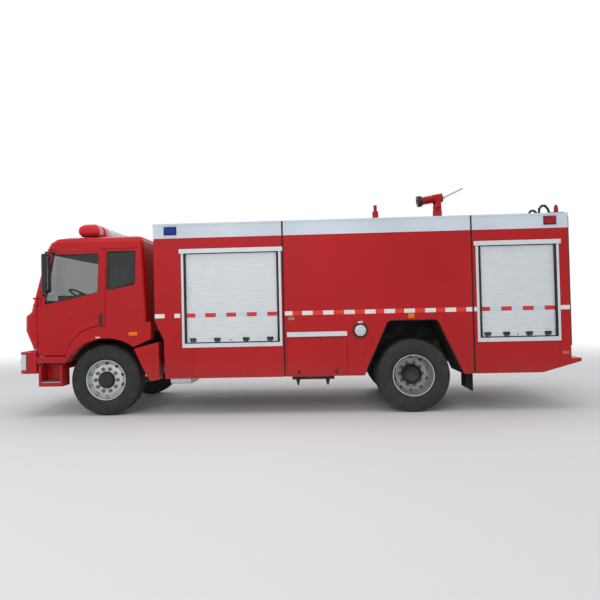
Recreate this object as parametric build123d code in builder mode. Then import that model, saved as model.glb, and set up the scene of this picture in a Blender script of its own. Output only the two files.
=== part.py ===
"""Two-axle water tender fire truck: tilting cab, three body modules, roof monitor.

Millimetres. X points forward, Y to the truck's left, Z up. The origin is on the ground,
midway between the front bumper and the rear step.
"""

import os
from collections import namedtuple
from math import cos, radians, sin

from build123d import *

os.makedirs("parts", exist_ok=True)

# Axles and tyres
WHEELBASE = 4500
REAR_AXLE_X = -1735
FRONT_AXLE_X = REAR_AXLE_X + WHEELBASE
TYRE_R = 522
TYRE_W = 295
TREAD_W = 236
AXLE_Z = TYRE_R
FRONT_WHEEL_Y = 1010
REAR_WHEEL_Y = 930
TWIN_SPACING = 330
RIM_R = 298
RIM_W = 250
RIM_WALL = 14
STUD_CIRCLE_R = 167.5
STUD_COUNT = 10
SEAT_GAP = 0.3
RUN_GAP = 0.05
JOINT_GAP = 8

# Body modules, measured from the rear axle
BODY_HALF = 1250
BODY_SKIN = 45
SKIRT_Z = 540
DECK_Z = 2577
FASCIA_TOP_Z = 2790
FASCIA_WALL = 40
FASCIA_PROUD = 3
FASCIA_LIP = (6, 26)
MODULE_GAP = 25
FRONT_SEAM_X = REAR_AXLE_X + 1838
REAR_SEAM_X = REAR_AXLE_X - 857
BODY_REAR_X = REAR_AXLE_X - 2206
STEP_REAR_X = REAR_AXLE_X - 2345
TUNNEL_HALF = 525

# Cab, measured from the front axle
CAB_REAR_X = FRONT_AXLE_X - 658
CAB_GAP = 122
CAB_WALL = 50
CAB_BOW = 60
CAB_FRONT_CORNER = 110
CAB_REAR_CORNER = 75
DOOR_FRONT_X = FRONT_AXLE_X + 980
DOOR_REAR_X = FRONT_AXLE_X - 50
DOOR_SILL_Z = 900
ROOF_JOIN_Z = 2465
GLASS_SET_BACK = 14
GLASS_THICK = 8
ARCH_R = 618
FLARE_HALF = 1250
REAR_WALL_HALF = 1090
FLARE_DEPTH = FLARE_HALF - REAR_WALL_HALF
FLARE_REAR_X = CAB_REAR_X - 60
BODY_FRONT_X = CAB_REAR_X - CAB_GAP

# Cab shell sections: height, front face, rear face, half width
CabRow = namedtuple("CabRow", "z front rear half")
CAB_ROWS = [
    CabRow(790, FRONT_AXLE_X + 1065, CAB_REAR_X, 1218),
    CabRow(1045, FRONT_AXLE_X + 1141, CAB_REAR_X, 1228),
    CabRow(1280, FRONT_AXLE_X + 1233, CAB_REAR_X, 1235),
    CabRow(1490, FRONT_AXLE_X + 1228, CAB_REAR_X + 7, 1235),
    CabRow(1550, FRONT_AXLE_X + 1150, CAB_REAR_X + 10, 1235),
    CabRow(2465, FRONT_AXLE_X + 925, CAB_REAR_X + 65, 1178),
    CabRow(2570, FRONT_AXLE_X + 875, CAB_REAR_X + 73, 1160),
    CabRow(2630, FRONT_AXLE_X + 805, CAB_REAR_X + 95, 1118),
    CabRow(2658, FRONT_AXLE_X + 690, CAB_REAR_X + 150, 1030),
]

# Chassis
RAIL_HALF = 430
RAIL_FLANGE = 80
RAIL_HEIGHT = 280
RAIL_WALL = 9
RAIL_TOP_Z = 1030
RAIL_FRONT_X = FRONT_AXLE_X + 935
RAIL_REAR_X = BODY_REAR_X + 60
RAIL_BOTTOM_Z = RAIL_TOP_Z - RAIL_HEIGHT
FLOOR_Z = RAIL_TOP_Z
CAB_PIVOT_X = FRONT_AXLE_X + 1085
CAB_PIVOT_Z = 950
PIVOT_PIN_R = 20
PIVOT_BRACKET_HALF = 32

# Bumper and steps
BUMPER_FRONT_X = FRONT_AXLE_X + 1315
BUMPER_REAR_X = DOOR_FRONT_X + 8
BUMPER_TOP_Z = 965
BUMPER_LOW_Z = 648
BUMPER_WALL = 65
STEP_FRONT_X = DOOR_FRONT_X - 25
STEP_LENGTH = 352
STEP_TOP_Z = 755
STEP_LOW_Z = 456
STEP_DEPTH = 230
STEP_WALL = 34

# Steering
KINGPIN_Y = 880
KINGPIN_R = 24
BOSS_R = 52
BOSS_HEIGHT = 120
EAR_THICK = 40
EAR_GAP = 6
SPINDLE_R = 45
TIE_ARM_BACK = 180
TIE_PIN_R = 12
TIE_ROD_R = 18

# Roof monitor
MONITOR_X = REAR_AXLE_X - 660
MONITOR_RISER_R = 76
RISER_TOP_Z = 3085
MONITOR_AXIS_Z = RISER_TOP_Z + 205
BARREL_DROP_DEG = 8
TRUNNION_R = 30


def side_plane(y):
    """Sketch plane facing the left side at a given Y: local x is X, local y is Z."""
    return Plane(origin=(0, y, 0), x_dir=(1, 0, 0), z_dir=(0, -1, 0))


def cross_plane(x):
    """Sketch plane across the truck at a given X: local x is Y, local y is Z."""
    return Plane(origin=(x, 0, 0), x_dir=(0, 1, 0), z_dir=(1, 0, 0))


def wheel_plane(x, y, outward):
    """Sketch plane for a wheel section: local x points out of the truck, local y is the radius."""
    return Plane(origin=(x, y, AXLE_Z), x_dir=(0, outward, 0), z_dir=(outward, 0, 0))


def save(piece, node):
    """Labels a finished piece and writes it as its node's STEP file."""
    piece.part.label = node
    export_step(piece.part, f"parts/{node}.step")


def block(x0, x1, y0, y1, z0, z1, mode=Mode.ADD):
    """A box between two corners, inside the current part."""
    with Locations(((x0 + x1) / 2, (y0 + y1) / 2, (z0 + z1) / 2)):
        Box(x1 - x0, y1 - y0, z1 - z0, mode=mode)


def cut(x0, x1, y0, y1, z0, z1):
    """Takes a box between two corners out of the current part."""
    block(x0, x1, y0, y1, z0, z1, Mode.SUBTRACT)


def span(side, inner, outer):
    """Lower and upper Y of a stretch on one side of the truck, 1 for left and -1 for right."""
    return sorted((side * inner, side * outer))


def rod(start, end, radius, mode=Mode.ADD):
    """A round bar between two points, inside the current part."""
    start, end = Vector(*start), Vector(*end)
    along = end - start
    with BuildSketch(Plane(origin=start, z_dir=along)) as section:
        Circle(radius)
    extrude(section.sketch, amount=along.length, mode=mode)


def side_face(points, y, corner=0.0, drawn_in=0.0):
    """A straight-edged outline seen from the side, at a given Y, its corners rounded."""
    with BuildSketch(side_plane(y)) as outline:
        with BuildLine():
            Polyline(*points, close=True)
        make_face()
        if corner:
            fillet(outline.vertices(), corner)
        if drawn_in:
            offset(amount=-drawn_in, mode=Mode.REPLACE)
    return outline.sketch


# Cab shell: the outer skin is one loft through the sections, and each inner skin is set in from it
def cab_volume(inset):
    """The cab's outside, drawn in by an inset."""
    with BuildPart() as volume:
        for row in CAB_ROWS:
            height = row.z - (inset if row.z > ROOF_JOIN_Z else 0)
            front, rear, half = row.front - inset, row.rear + inset, row.half - inset
            with BuildSketch(Plane.XY.offset(height)) as section:
                with BuildLine():
                    ThreePointArc((front - CAB_BOW, -half), (front, 0), (front - CAB_BOW, half))
                    Polyline(
                        (front - CAB_BOW, half), (rear, half), (rear, -half), (front - CAB_BOW, -half)
                    )
                make_face()
                corners = section.vertices().sort_by(Axis.X)
                fillet(corners[-2:], CAB_FRONT_CORNER - inset)
                fillet(section.vertices().sort_by(Axis.X)[:2], CAB_REAR_CORNER - inset)
        loft(ruled=True)
    return volume.part


cab_outside = cab_volume(0)
cab_inside = cab_volume(CAB_WALL)
with BuildPart() as cab_shell:
    add(cab_outside)
    add(cab_inside, mode=Mode.SUBTRACT)
with BuildPart() as glass_shell:
    add(cab_volume(GLASS_SET_BACK))
    add(cab_volume(GLASS_SET_BACK + GLASS_THICK), mode=Mode.SUBTRACT)

# Side outlines of the cab: the line in front of the door, the arch flare's upper edge, the windows
PILLAR_LOW_Z = 1820
PILLAR_TOP_X = DOOR_FRONT_X - 183
FLARE_FRONT_X = FRONT_AXLE_X + 545
FLARE_MID = (FRONT_AXLE_X + 385, 1180)
FLARE_TOP = (DOOR_REAR_X, 1318)
FLARE_REAR_Z = 1372
ARCH_REAR = (FRONT_AXLE_X - 452, 1010)
ARCH_TAIL_Z = 1125
CAB_REACH = 1600
SIDE_IN_Y = 1000


def door_face(gap, y):
    """Door edge seen from the side, drawn in by a gap all round."""
    rear_top = (DOOR_REAR_X + gap, FLARE_TOP[1] + gap)
    front_low = (FLARE_FRONT_X + gap, DOOR_SILL_Z + gap)
    with BuildSketch(side_plane(y)) as outline:
        with BuildLine():
            Polyline(
                front_low,
                (DOOR_FRONT_X - gap, DOOR_SILL_Z + gap),
                (DOOR_FRONT_X - gap, PILLAR_LOW_Z),
                (PILLAR_TOP_X - gap, ROOF_JOIN_Z - gap),
                (DOOR_REAR_X + gap, ROOF_JOIN_Z - gap),
                rear_top,
            )
            ThreePointArc(rear_top, (FLARE_MID[0] + gap, FLARE_MID[1] + gap), front_low)
        make_face()
    return outline.sketch


DOOR_WINDOW = [
    (FRONT_AXLE_X + 868, 1650),
    (FRONT_AXLE_X + 745, 2395),
    (FRONT_AXLE_X + 55, 2395),
    (FRONT_AXLE_X + 68, 1815),
]
QUARTER_WINDOW = [
    (FRONT_AXLE_X - 66, 2420),
    (FRONT_AXLE_X - 488, 2420),
    (FRONT_AXLE_X - 480, 1922),
    (FRONT_AXLE_X - 66, 1850),
]
WINDOW_CORNER = 28
SCREEN_HALF = 1055
SCREEN_LOW_Z = 1600
SCREEN_TOP_Z = 2432
SCREEN_CORNER = 60
GLASS_GAP = 0.5


def screen_face(x, gap=0.0):
    """Windscreen opening seen from the front."""
    with BuildSketch(cross_plane(x)) as outline:
        with Locations((0, (SCREEN_LOW_Z + SCREEN_TOP_Z) / 2)):
            RectangleRounded(
                2 * (SCREEN_HALF - gap), SCREEN_TOP_Z - SCREEN_LOW_Z - 2 * gap, SCREEN_CORNER
            )
    return outline.sketch


# Door hinges: barrels standing just proud of the cab's side
HINGE_X = DOOR_FRONT_X - 4
HINGE_Y = 1238
HINGE_R = 11
HINGE_LENGTH = 70
HINGE_PIN_R = 5
KNUCKLE_LENGTH = 28
HINGE_LEAF = 55
HINGE_Z = (1150, 1700)

# Front of the cab: nose, corners and windscreen pillars in one pressing
NOSE_LOW_Z = 1000
with BuildPart() as cab_front:
    add(cab_shell.part)
    with BuildSketch(side_plane(CAB_REACH)):
        with BuildLine():
            Polyline(
                (DOOR_FRONT_X, NOSE_LOW_Z),
                (DOOR_FRONT_X, PILLAR_LOW_Z),
                (PILLAR_TOP_X, ROOF_JOIN_Z),
                (BUMPER_FRONT_X, ROOF_JOIN_Z),
                (BUMPER_FRONT_X, NOSE_LOW_Z),
                close=True,
            )
        make_face()
    extrude(amount=2 * CAB_REACH, mode=Mode.INTERSECT)
    extrude(screen_face(DOOR_REAR_X), amount=2 * CAB_REACH, mode=Mode.SUBTRACT)
    for z in HINGE_Z:
        for side in (-1, 1):
            with Locations((HINGE_X, side * HINGE_Y, z)):
                Cylinder(HINGE_R + JOINT_GAP, HINGE_LENGTH + 2, mode=Mode.SUBTRACT)
                Cylinder(HINGE_PIN_R, HINGE_LENGTH + 2 * KNUCKLE_LENGTH)
            for end in (-1, 1):
                knuckle_z = z + end * (HINGE_LENGTH + KNUCKLE_LENGTH + 2) / 2
                with Locations((HINGE_X, side * HINGE_Y, knuckle_z)):
                    Cylinder(HINGE_R, KNUCKLE_LENGTH)
                with Locations((HINGE_X + HINGE_LEAF / 2, side * (HINGE_Y - 15), knuckle_z)):
                    Box(HINGE_LEAF, 20, KNUCKLE_LENGTH)
save(cab_front, "cab_front")

# Roof cap with a rain gutter over each door
GUTTER_PROUD = 12
GUTTER_HEIGHT = 24
with BuildPart() as gutters:
    add(cab_volume(-GUTTER_PROUD))
    add(cab_outside, mode=Mode.SUBTRACT)
    block(
        CAB_REAR_X + 2 * CAB_REAR_CORNER, PILLAR_TOP_X, -CAB_REACH, CAB_REACH,
        ROOF_JOIN_Z, ROOF_JOIN_Z + GUTTER_HEIGHT, Mode.INTERSECT,
    )
with BuildPart() as cab_roof:
    add(cab_shell.part)
    block(BODY_FRONT_X, BUMPER_FRONT_X, -CAB_REACH, CAB_REACH, ROOF_JOIN_Z, FASCIA_TOP_Z, Mode.INTERSECT)
    add(gutters.part)
save(cab_roof, "cab_roof")

# Rear wall between the two side panels
CAB_FLOOR_Z = 1220
with BuildPart() as cab_rear_wall:
    add(cab_shell.part)
    block(
        BODY_FRONT_X, CAB_REAR_X + 3 * CAB_WALL, -REAR_WALL_HALF, REAR_WALL_HALF, CAB_FLOOR_Z,
        ROOF_JOIN_Z, Mode.INTERSECT,
    )
save(cab_rear_wall, "cab_rear_wall")

# Rear quarter panels, above the flares and behind the doors
with BuildPart() as cab_sides:
    add(cab_shell.part)
    with BuildSketch(side_plane(CAB_REACH)):
        with BuildLine():
            Polyline(
                FLARE_TOP,
                (FLARE_REAR_X, FLARE_REAR_Z),
                (FLARE_REAR_X, ROOF_JOIN_Z),
                (DOOR_REAR_X, ROOF_JOIN_Z),
                close=True,
            )
        make_face()
    extrude(amount=CAB_REACH - REAR_WALL_HALF, mode=Mode.INTERSECT)
    window = side_face(QUARTER_WINDOW, CAB_REACH, WINDOW_CORNER)
    extrude(window, amount=CAB_REACH - SIDE_IN_Y, mode=Mode.SUBTRACT)
    mirror(about=Plane.XZ)
save(cab_sides, "cab_sides")

# Wheel arch flares with the sill under the door
SILL_LOW_Z = 800
SILL_TOP_Z = DOOR_SILL_Z - JOINT_GAP
with BuildPart() as cab_arches:
    with BuildSketch(side_plane(FLARE_HALF)):
        with BuildLine():
            Polyline(
                FLARE_TOP,
                (FLARE_REAR_X, FLARE_REAR_Z),
                (FLARE_REAR_X, ARCH_TAIL_Z),
                ARCH_REAR,
            )
            ThreePointArc(ARCH_REAR, (FRONT_AXLE_X, AXLE_Z + ARCH_R), (FRONT_AXLE_X + 548, SILL_LOW_Z))
            Polyline(
                (FRONT_AXLE_X + 548, SILL_LOW_Z),
                (DOOR_FRONT_X, SILL_LOW_Z),
                (DOOR_FRONT_X, SILL_TOP_Z),
                (FLARE_FRONT_X, SILL_TOP_Z),
            )
            ThreePointArc((FLARE_FRONT_X, SILL_TOP_Z), FLARE_MID, FLARE_TOP)
        make_face()
    extrude(amount=FLARE_DEPTH)
    outer = cab_arches.edges().filter_by_position(Axis.Y, FLARE_HALF - 1, FLARE_HALF + 1)
    fillet(outer.filter_by(GeomType.CIRCLE), 12)
    mirror(about=Plane.XZ)
save(cab_arches, "cab_arches")

# Windscreen and the two quarter lights
with BuildPart() as screen:
    add(glass_shell.part)
    extrude(screen_face(DOOR_FRONT_X - 400, GLASS_GAP), amount=CAB_REACH, mode=Mode.INTERSECT)
with BuildPart() as quarters:
    add(glass_shell.part)
    pane = side_face(QUARTER_WINDOW, CAB_REACH, WINDOW_CORNER, GLASS_GAP)
    extrude(pane, amount=CAB_REACH - SIDE_IN_Y, mode=Mode.INTERSECT)
    mirror(about=Plane.XZ)
with BuildPart() as cab_glass:
    add(screen.part)
    add(quarters.part)
save(cab_glass, "cab_glass")

# Doors with their own glass, mirror and handle
MIRROR_Y = 1400
MIRROR_X = FRONT_AXLE_X + 740
MIRROR_SIZE = (80, 165, 560)
MIRROR_CORNER = 30
MIRROR_Z = 2105
MIRROR_ARM_Z = 305
MIRROR_ARM_R = 16
MIRROR_POST_R = 12
HANDLE_X = (FRONT_AXLE_X - 10, FRONT_AXLE_X + 55)
HANDLE_Y = (1222, 1246)
HANDLE_Z = (1335, 1515)
with BuildPart() as door_left:
    add(cab_shell.part)
    extrude(door_face(JOINT_GAP, CAB_REACH), amount=CAB_REACH - SIDE_IN_Y, mode=Mode.INTERSECT)
    opening = side_face(DOOR_WINDOW, CAB_REACH, WINDOW_CORNER)
    extrude(opening, amount=CAB_REACH - SIDE_IN_Y, mode=Mode.SUBTRACT)
    for z in HINGE_Z:
        with Locations((HINGE_X, HINGE_Y, z)):
            Cylinder(
                HINGE_R + JOINT_GAP, HINGE_LENGTH + 2 * (KNUCKLE_LENGTH + JOINT_GAP), mode=Mode.SUBTRACT
            )
            Cylinder(HINGE_R, HINGE_LENGTH)
        with Locations((HINGE_X - HINGE_LEAF / 2, HINGE_Y - 15, z)):
            Box(HINGE_LEAF, 20, HINGE_LENGTH)
        with Locations((HINGE_X, HINGE_Y, z)):
            Cylinder(HINGE_PIN_R + RUN_GAP, HINGE_LENGTH, mode=Mode.SUBTRACT)
with BuildPart() as door_glass_left:
    add(glass_shell.part)
    pane = side_face(DOOR_WINDOW, CAB_REACH, WINDOW_CORNER, GLASS_GAP)
    extrude(pane, amount=CAB_REACH - SIDE_IN_Y, mode=Mode.INTERSECT)
with BuildPart() as door_fittings_left:
    with Locations((MIRROR_X, MIRROR_Y, MIRROR_Z)):
        Box(*MIRROR_SIZE)
        fillet(door_fittings_left.edges().filter_by(Axis.Z), MIRROR_CORNER)
    for z, foot_x, foot_y in (
        (MIRROR_Z + MIRROR_ARM_Z, PILLAR_TOP_X - 70, 1165),
        (MIRROR_Z - MIRROR_ARM_Z, DOOR_FRONT_X - 110, 1195),
    ):
        rod((foot_x, foot_y, z), (MIRROR_X, MIRROR_Y + 22, z), MIRROR_ARM_R)
        rod((MIRROR_X, MIRROR_Y, z), (MIRROR_X, MIRROR_Y, MIRROR_Z), MIRROR_POST_R)
    block(*HANDLE_X, *HANDLE_Y, *HANDLE_Z)
    add(cab_outside, mode=Mode.SUBTRACT)
doors = (door_left, "door"), (door_glass_left, "door_glass"), (door_fittings_left, "door_fittings")
for piece, name in doors:
    save(piece, f"{name}_left")
    with BuildPart() as other_side:
        add(mirror(piece.part, about=Plane.XZ))
    save(other_side, f"{name}_right")

# Cab floor with the engine tunnel, the step wells and the front pivot lugs
FLOOR_THICK = 40
TUNNEL_INNER_HALF = 400
TUNNEL_TOP_Z = 1500
TUNNEL_FRONT_X = FRONT_AXLE_X + 560
WELL_Y = 985
LUG_Y = 470
LUG_THICK = 30
LUG_R = 44
with BuildPart() as outside_of_shell:
    block(CAB_REAR_X, BUMPER_FRONT_X, -CAB_REACH, CAB_REACH, NOSE_LOW_Z, TUNNEL_TOP_Z)
    add(cab_inside, mode=Mode.SUBTRACT)
with BuildPart() as cab_floor:
    block(CAB_REAR_X + 52, TUNNEL_FRONT_X, -WELL_Y, WELL_Y, CAB_FLOOR_Z, CAB_FLOOR_Z + FLOOR_THICK)
    block(TUNNEL_FRONT_X, BUMPER_FRONT_X, -WELL_Y, WELL_Y, CAB_FLOOR_Z, CAB_FLOOR_Z + FLOOR_THICK)
    block(
        CAB_REAR_X + 52, TUNNEL_FRONT_X, -TUNNEL_INNER_HALF - FLOOR_THICK,
        TUNNEL_INNER_HALF + FLOOR_THICK, CAB_FLOOR_Z, TUNNEL_TOP_Z,
    )
    cut(
        CAB_REAR_X, TUNNEL_FRONT_X - FLOOR_THICK, -TUNNEL_INNER_HALF, TUNNEL_INNER_HALF, CAB_FLOOR_Z - 1,
        TUNNEL_TOP_Z - FLOOR_THICK,
    )
    for side in (-1, 1):
        y_in, y_out = span(side, WELL_Y - 30, WELL_Y)
        block(FLARE_FRONT_X + 20, DOOR_FRONT_X + 20, y_in, y_out, SILL_LOW_Z, CAB_FLOOR_Z + FLOOR_THICK)
        y_in, y_out = span(side, WELL_Y, FLARE_HALF - FLARE_DEPTH)
        block(FLARE_FRONT_X + 20, DOOR_FRONT_X + 20, y_in, y_out, SILL_LOW_Z, SILL_LOW_Z + 40)
        y_in, y_out = span(side, WELL_Y, FLARE_HALF - FLARE_DEPTH)
        block(CAB_REAR_X + 52, FLARE_FRONT_X - 60, y_in, y_out, CAB_FLOOR_Z, CAB_FLOOR_Z + FLOOR_THICK)
        with BuildSketch(side_plane(side * LUG_Y + LUG_THICK / 2)):
            with Locations((CAB_PIVOT_X, CAB_PIVOT_Z)):
                Circle(LUG_R)
            with BuildLine():
                Polyline(
                    (CAB_PIVOT_X - LUG_R, CAB_PIVOT_Z), (CAB_PIVOT_X + LUG_R, CAB_PIVOT_Z),
                    (CAB_PIVOT_X + LUG_R, CAB_FLOOR_Z + 10), (CAB_PIVOT_X - LUG_R, CAB_FLOOR_Z + 10),
                    close=True,
                )
            make_face()
            with Locations((CAB_PIVOT_X, CAB_PIVOT_Z)):
                Circle(PIVOT_PIN_R + RUN_GAP, mode=Mode.SUBTRACT)
        extrude(amount=LUG_THICK)
    add(outside_of_shell.part, mode=Mode.SUBTRACT)
save(cab_floor, "cab_floor")

# Dashboard and steering wheel
WHEEL_AT = (FRONT_AXLE_X + 560, 620, 1790)
WHEEL_TILT = 30
DASH = [
    (FRONT_AXLE_X + 700, CAB_FLOOR_Z + 130), (FRONT_AXLE_X + 650, 1560), (FRONT_AXLE_X + 700, 1690),
    (FRONT_AXLE_X + 900, 1720), (FRONT_AXLE_X + 1250, 1590), (FRONT_AXLE_X + 1250, CAB_FLOOR_Z + 130),
]
with BuildPart() as dashboard:
    extrude(side_face(DASH, 1080), amount=2160)
    add(cab_inside, mode=Mode.INTERSECT)
    tilt = radians(WHEEL_TILT)
    column = (WHEEL_AT[0] + 280 * sin(tilt), WHEEL_AT[1], WHEEL_AT[2] - 280 * cos(tilt))
    rod(WHEEL_AT, column, 28)
    rim_plane = Plane(origin=WHEEL_AT, x_dir=(0, 1, 0), z_dir=(-sin(tilt), 0, cos(tilt)))
    with BuildSketch(Plane(origin=WHEEL_AT, x_dir=rim_plane.x_dir, z_dir=rim_plane.y_dir)):
        with Locations((215, 0)):
            Circle(16)
    revolve(axis=Axis(WHEEL_AT, tuple(rim_plane.z_dir)))
    with Locations(rim_plane):
        Box(420, 36, 16)
        Cylinder(70, 30)
save(dashboard, "dashboard")

# Seats: driver's seat and a two-place bench
Seat = namedtuple("Seat", "y width")
SEATS = (Seat(620, 500), Seat(-560, 860))
SEAT_FRONT_X = FRONT_AXLE_X + 330
SEAT_BACK_X = FRONT_AXLE_X - 250
CUSHION_Z = (1550, 1690)
BACK_LOW_Z = CUSHION_Z[1] - 90
BACK_TOP_Z = 2290
PEDESTAL_TOP_Z = CUSHION_Z[0] + 10
with BuildPart() as cab_seats:
    for seat in SEATS:
        y0, y1 = seat.y - seat.width / 2, seat.y + seat.width / 2
        base_z = TUNNEL_TOP_Z if seat.y < 0 else CAB_FLOOR_Z + FLOOR_THICK
        block(SEAT_BACK_X + 60, SEAT_FRONT_X - 90, y0 + 80, y1 - 80, base_z, PEDESTAL_TOP_Z)
        block(SEAT_BACK_X + 40, SEAT_FRONT_X, y0, y1, *CUSHION_Z)
        back = [
            (SEAT_BACK_X + 130, BACK_LOW_Z), (SEAT_BACK_X + 10, BACK_LOW_Z),
            (SEAT_BACK_X - 120, BACK_TOP_Z), (SEAT_BACK_X - 30, BACK_TOP_Z),
        ]
        extrude(side_face(back, y1), amount=seat.width)
    block(SEAT_BACK_X + 60, SEAT_FRONT_X - 90, -930, -445, CAB_FLOOR_Z + FLOOR_THICK, PEDESTAL_TOP_Z)
save(cab_seats, "cab_seats")

# Grille panel on the nose
GRILLE_HALF = 760
GRILLE_Z = (1090, 1500)
GRILLE_PROUD = 22
GRILLE_BORDER = 40
GRILLE_PITCH = 70
GRILLE_SLOT = 34
with BuildPart() as grille:
    add(cab_volume(-GRILLE_PROUD))
    add(cab_outside, mode=Mode.SUBTRACT)
    block(FRONT_AXLE_X + 900, BUMPER_FRONT_X, -GRILLE_HALF, GRILLE_HALF, *GRILLE_Z, Mode.INTERSECT)
    slot_half = GRILLE_HALF - GRILLE_BORDER
    for z in range(GRILLE_Z[0] + GRILLE_BORDER, GRILLE_Z[1] - GRILLE_SLOT, GRILLE_PITCH):
        cut(FRONT_AXLE_X + 900, BUMPER_FRONT_X, -slot_half, slot_half, z, z + GRILLE_SLOT)
save(grille, "grille")

# Warning light bar on the cab roof
BAR_X = FRONT_AXLE_X + 360
BAR_HALF = 860
BarRow = namedtuple("BarRow", "z depth drawn_in corner")
BAR_ROWS = (
    BarRow(2712, 290, 20, 100), BarRow(2785, 330, 0, 120), BarRow(2860, 290, 25, 105),
    BarRow(2905, 190, 90, 80),
)
BAR_FOOT_Y = 560
BAR_FOOT_HALF = 60
with BuildPart() as light_bar:
    for row in BAR_ROWS:
        with BuildSketch(Plane.XY.offset(row.z)):
            with Locations((BAR_X, 0)):
                RectangleRounded(row.depth, 2 * (BAR_HALF - row.drawn_in), row.corner)
    loft(ruled=True)
    for y in (-BAR_FOOT_Y, BAR_FOOT_Y):
        block(
            BAR_X - BAR_FOOT_HALF, BAR_X + BAR_FOOT_HALF, y - BAR_FOOT_HALF, y + BAR_FOOT_HALF,
            CAB_ROWS[-2].z, BAR_ROWS[1].z,
        )
    add(cab_outside, mode=Mode.SUBTRACT)
save(light_bar, "light_bar")

# Ladder frame: two channels, crossmembers, cab pivot brackets and the rear towing eye
CROSS_X = (RAIL_REAR_X + 60, REAR_AXLE_X - 900, REAR_AXLE_X + 900, REAR_AXLE_X + 2300, FRONT_AXLE_X + 820)
TOW_EYE_R = 16
TOW_EYE_HALF = 60
TOW_EYE_Z = (560, 620)
TOW_EYE_X = RAIL_REAR_X - 85
with BuildPart() as chassis_frame:
    for side in (-1, 1):
        rail_y, rail_z = RAIL_HALF - RAIL_FLANGE / 2, RAIL_TOP_Z - RAIL_HEIGHT / 2
        with BuildSketch(cross_plane(RAIL_REAR_X)):
            with Locations((side * rail_y, rail_z)):
                Rectangle(RAIL_FLANGE, RAIL_HEIGHT)
            with Locations((side * (rail_y - RAIL_WALL), rail_z)):
                Rectangle(RAIL_FLANGE, RAIL_HEIGHT - 2 * RAIL_WALL, mode=Mode.SUBTRACT)
        extrude(amount=RAIL_FRONT_X - RAIL_REAR_X)
    for x in CROSS_X:
        block(
            x - 40, x + 40, RAIL_WALL - RAIL_HALF, RAIL_HALF - RAIL_WALL, RAIL_BOTTOM_Z + 60,
            RAIL_TOP_Z - 60,
        )
    for side in (-1, 1):
        y_in, y_out = span(side, LUG_Y - LUG_THICK / 2 - JOINT_GAP, RAIL_HALF - 40)
        block(
            RAIL_FRONT_X - 200, CAB_PIVOT_X + PIVOT_BRACKET_HALF, y_in, y_out,
            CAB_PIVOT_Z - PIVOT_BRACKET_HALF, CAB_PIVOT_Z + PIVOT_BRACKET_HALF,
        )
        rod(
            (CAB_PIVOT_X, side * (RAIL_HALF - 10), CAB_PIVOT_Z),
            (CAB_PIVOT_X, side * (LUG_Y + LUG_THICK), CAB_PIVOT_Z), PIVOT_PIN_R,
        )
    eye_low, eye_top = TOW_EYE_Z
    block(
        RAIL_REAR_X - 20, RAIL_REAR_X + 100, -TOW_EYE_HALF, TOW_EYE_HALF, eye_low + 30, RAIL_BOTTOM_Z + 80
    )
    block(TOW_EYE_X - 45, RAIL_REAR_X + 60, -TOW_EYE_HALF, TOW_EYE_HALF, eye_low, eye_top)
    rod((TOW_EYE_X, 0, eye_low - 20), (TOW_EYE_X, 0, eye_top + 20), TOW_EYE_R, Mode.SUBTRACT)
save(chassis_frame, "chassis_frame")

# Axles: front beam with kingpin bosses, rear banjo housing with hub spindles, leaf springs
BEAM_END_Y = KINGPIN_Y
SPRING_Y = 388
SPRING_W = 80
SPRING_SEAT_HALF = 110
SPRING_PACK = 70
SPRING_EYE = 60
REAR_SPINDLE_R = 60
REAR_SPINDLE_END = REAR_WHEEL_Y + 150
HUB_IN_Y = 640
with BuildPart() as axles:
    block(FRONT_AXLE_X - 45, FRONT_AXLE_X + 45, -BEAM_END_Y, BEAM_END_Y, AXLE_Z - 55, AXLE_Z + 55)
    for face_x in (-45, 45):
        cut(
            FRONT_AXLE_X + face_x - 25, FRONT_AXLE_X + face_x + 25, 60 - BEAM_END_Y, BEAM_END_Y - 60,
            AXLE_Z - 30, AXLE_Z + 30,
        )
    for side in (-1, 1):
        with Locations((FRONT_AXLE_X, side * KINGPIN_Y, AXLE_Z)):
            Cylinder(BOSS_R, BOSS_HEIGHT)
            Cylinder(KINGPIN_R + RUN_GAP, BOSS_HEIGHT, mode=Mode.SUBTRACT)
    rod((REAR_AXLE_X, -HUB_IN_Y, AXLE_Z), (REAR_AXLE_X, HUB_IN_Y, AXLE_Z), 78)
    rod((REAR_AXLE_X, -REAR_SPINDLE_END, AXLE_Z), (REAR_AXLE_X, REAR_SPINDLE_END, AXLE_Z), REAR_SPINDLE_R)
    with Locations(Location((REAR_AXLE_X, 0, AXLE_Z), (0, 90, 0))):
        Cylinder(200, 240)
Spring = namedtuple("Spring", "x half_length seat_z")
SPRINGS = (Spring(FRONT_AXLE_X, 720, AXLE_Z + 55), Spring(REAR_AXLE_X, 740, AXLE_Z + 70))
with BuildPart() as leaf_springs:
    for spring in SPRINGS:
        low, eye_z = spring.seat_z, RAIL_BOTTOM_Z - 20
        half = [
            (SPRING_SEAT_HALF, low), (spring.half_length, eye_z - 25), (spring.half_length, RAIL_BOTTOM_Z),
            (spring.half_length - SPRING_EYE, RAIL_BOTTOM_Z), (spring.half_length - SPRING_EYE, eye_z),
            (SPRING_SEAT_HALF, low + SPRING_PACK),
        ]
        leaf = [(spring.x + x, z) for x, z in half] + [(spring.x - x, z) for x, z in reversed(half)]
        extrude(side_face(leaf, SPRING_Y + SPRING_W / 2), amount=SPRING_W)
    mirror(about=Plane.XZ)
    add(axles.part, mode=Mode.SUBTRACT)
save(axles, "axles")
save(leaf_springs, "leaf_springs")

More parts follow.
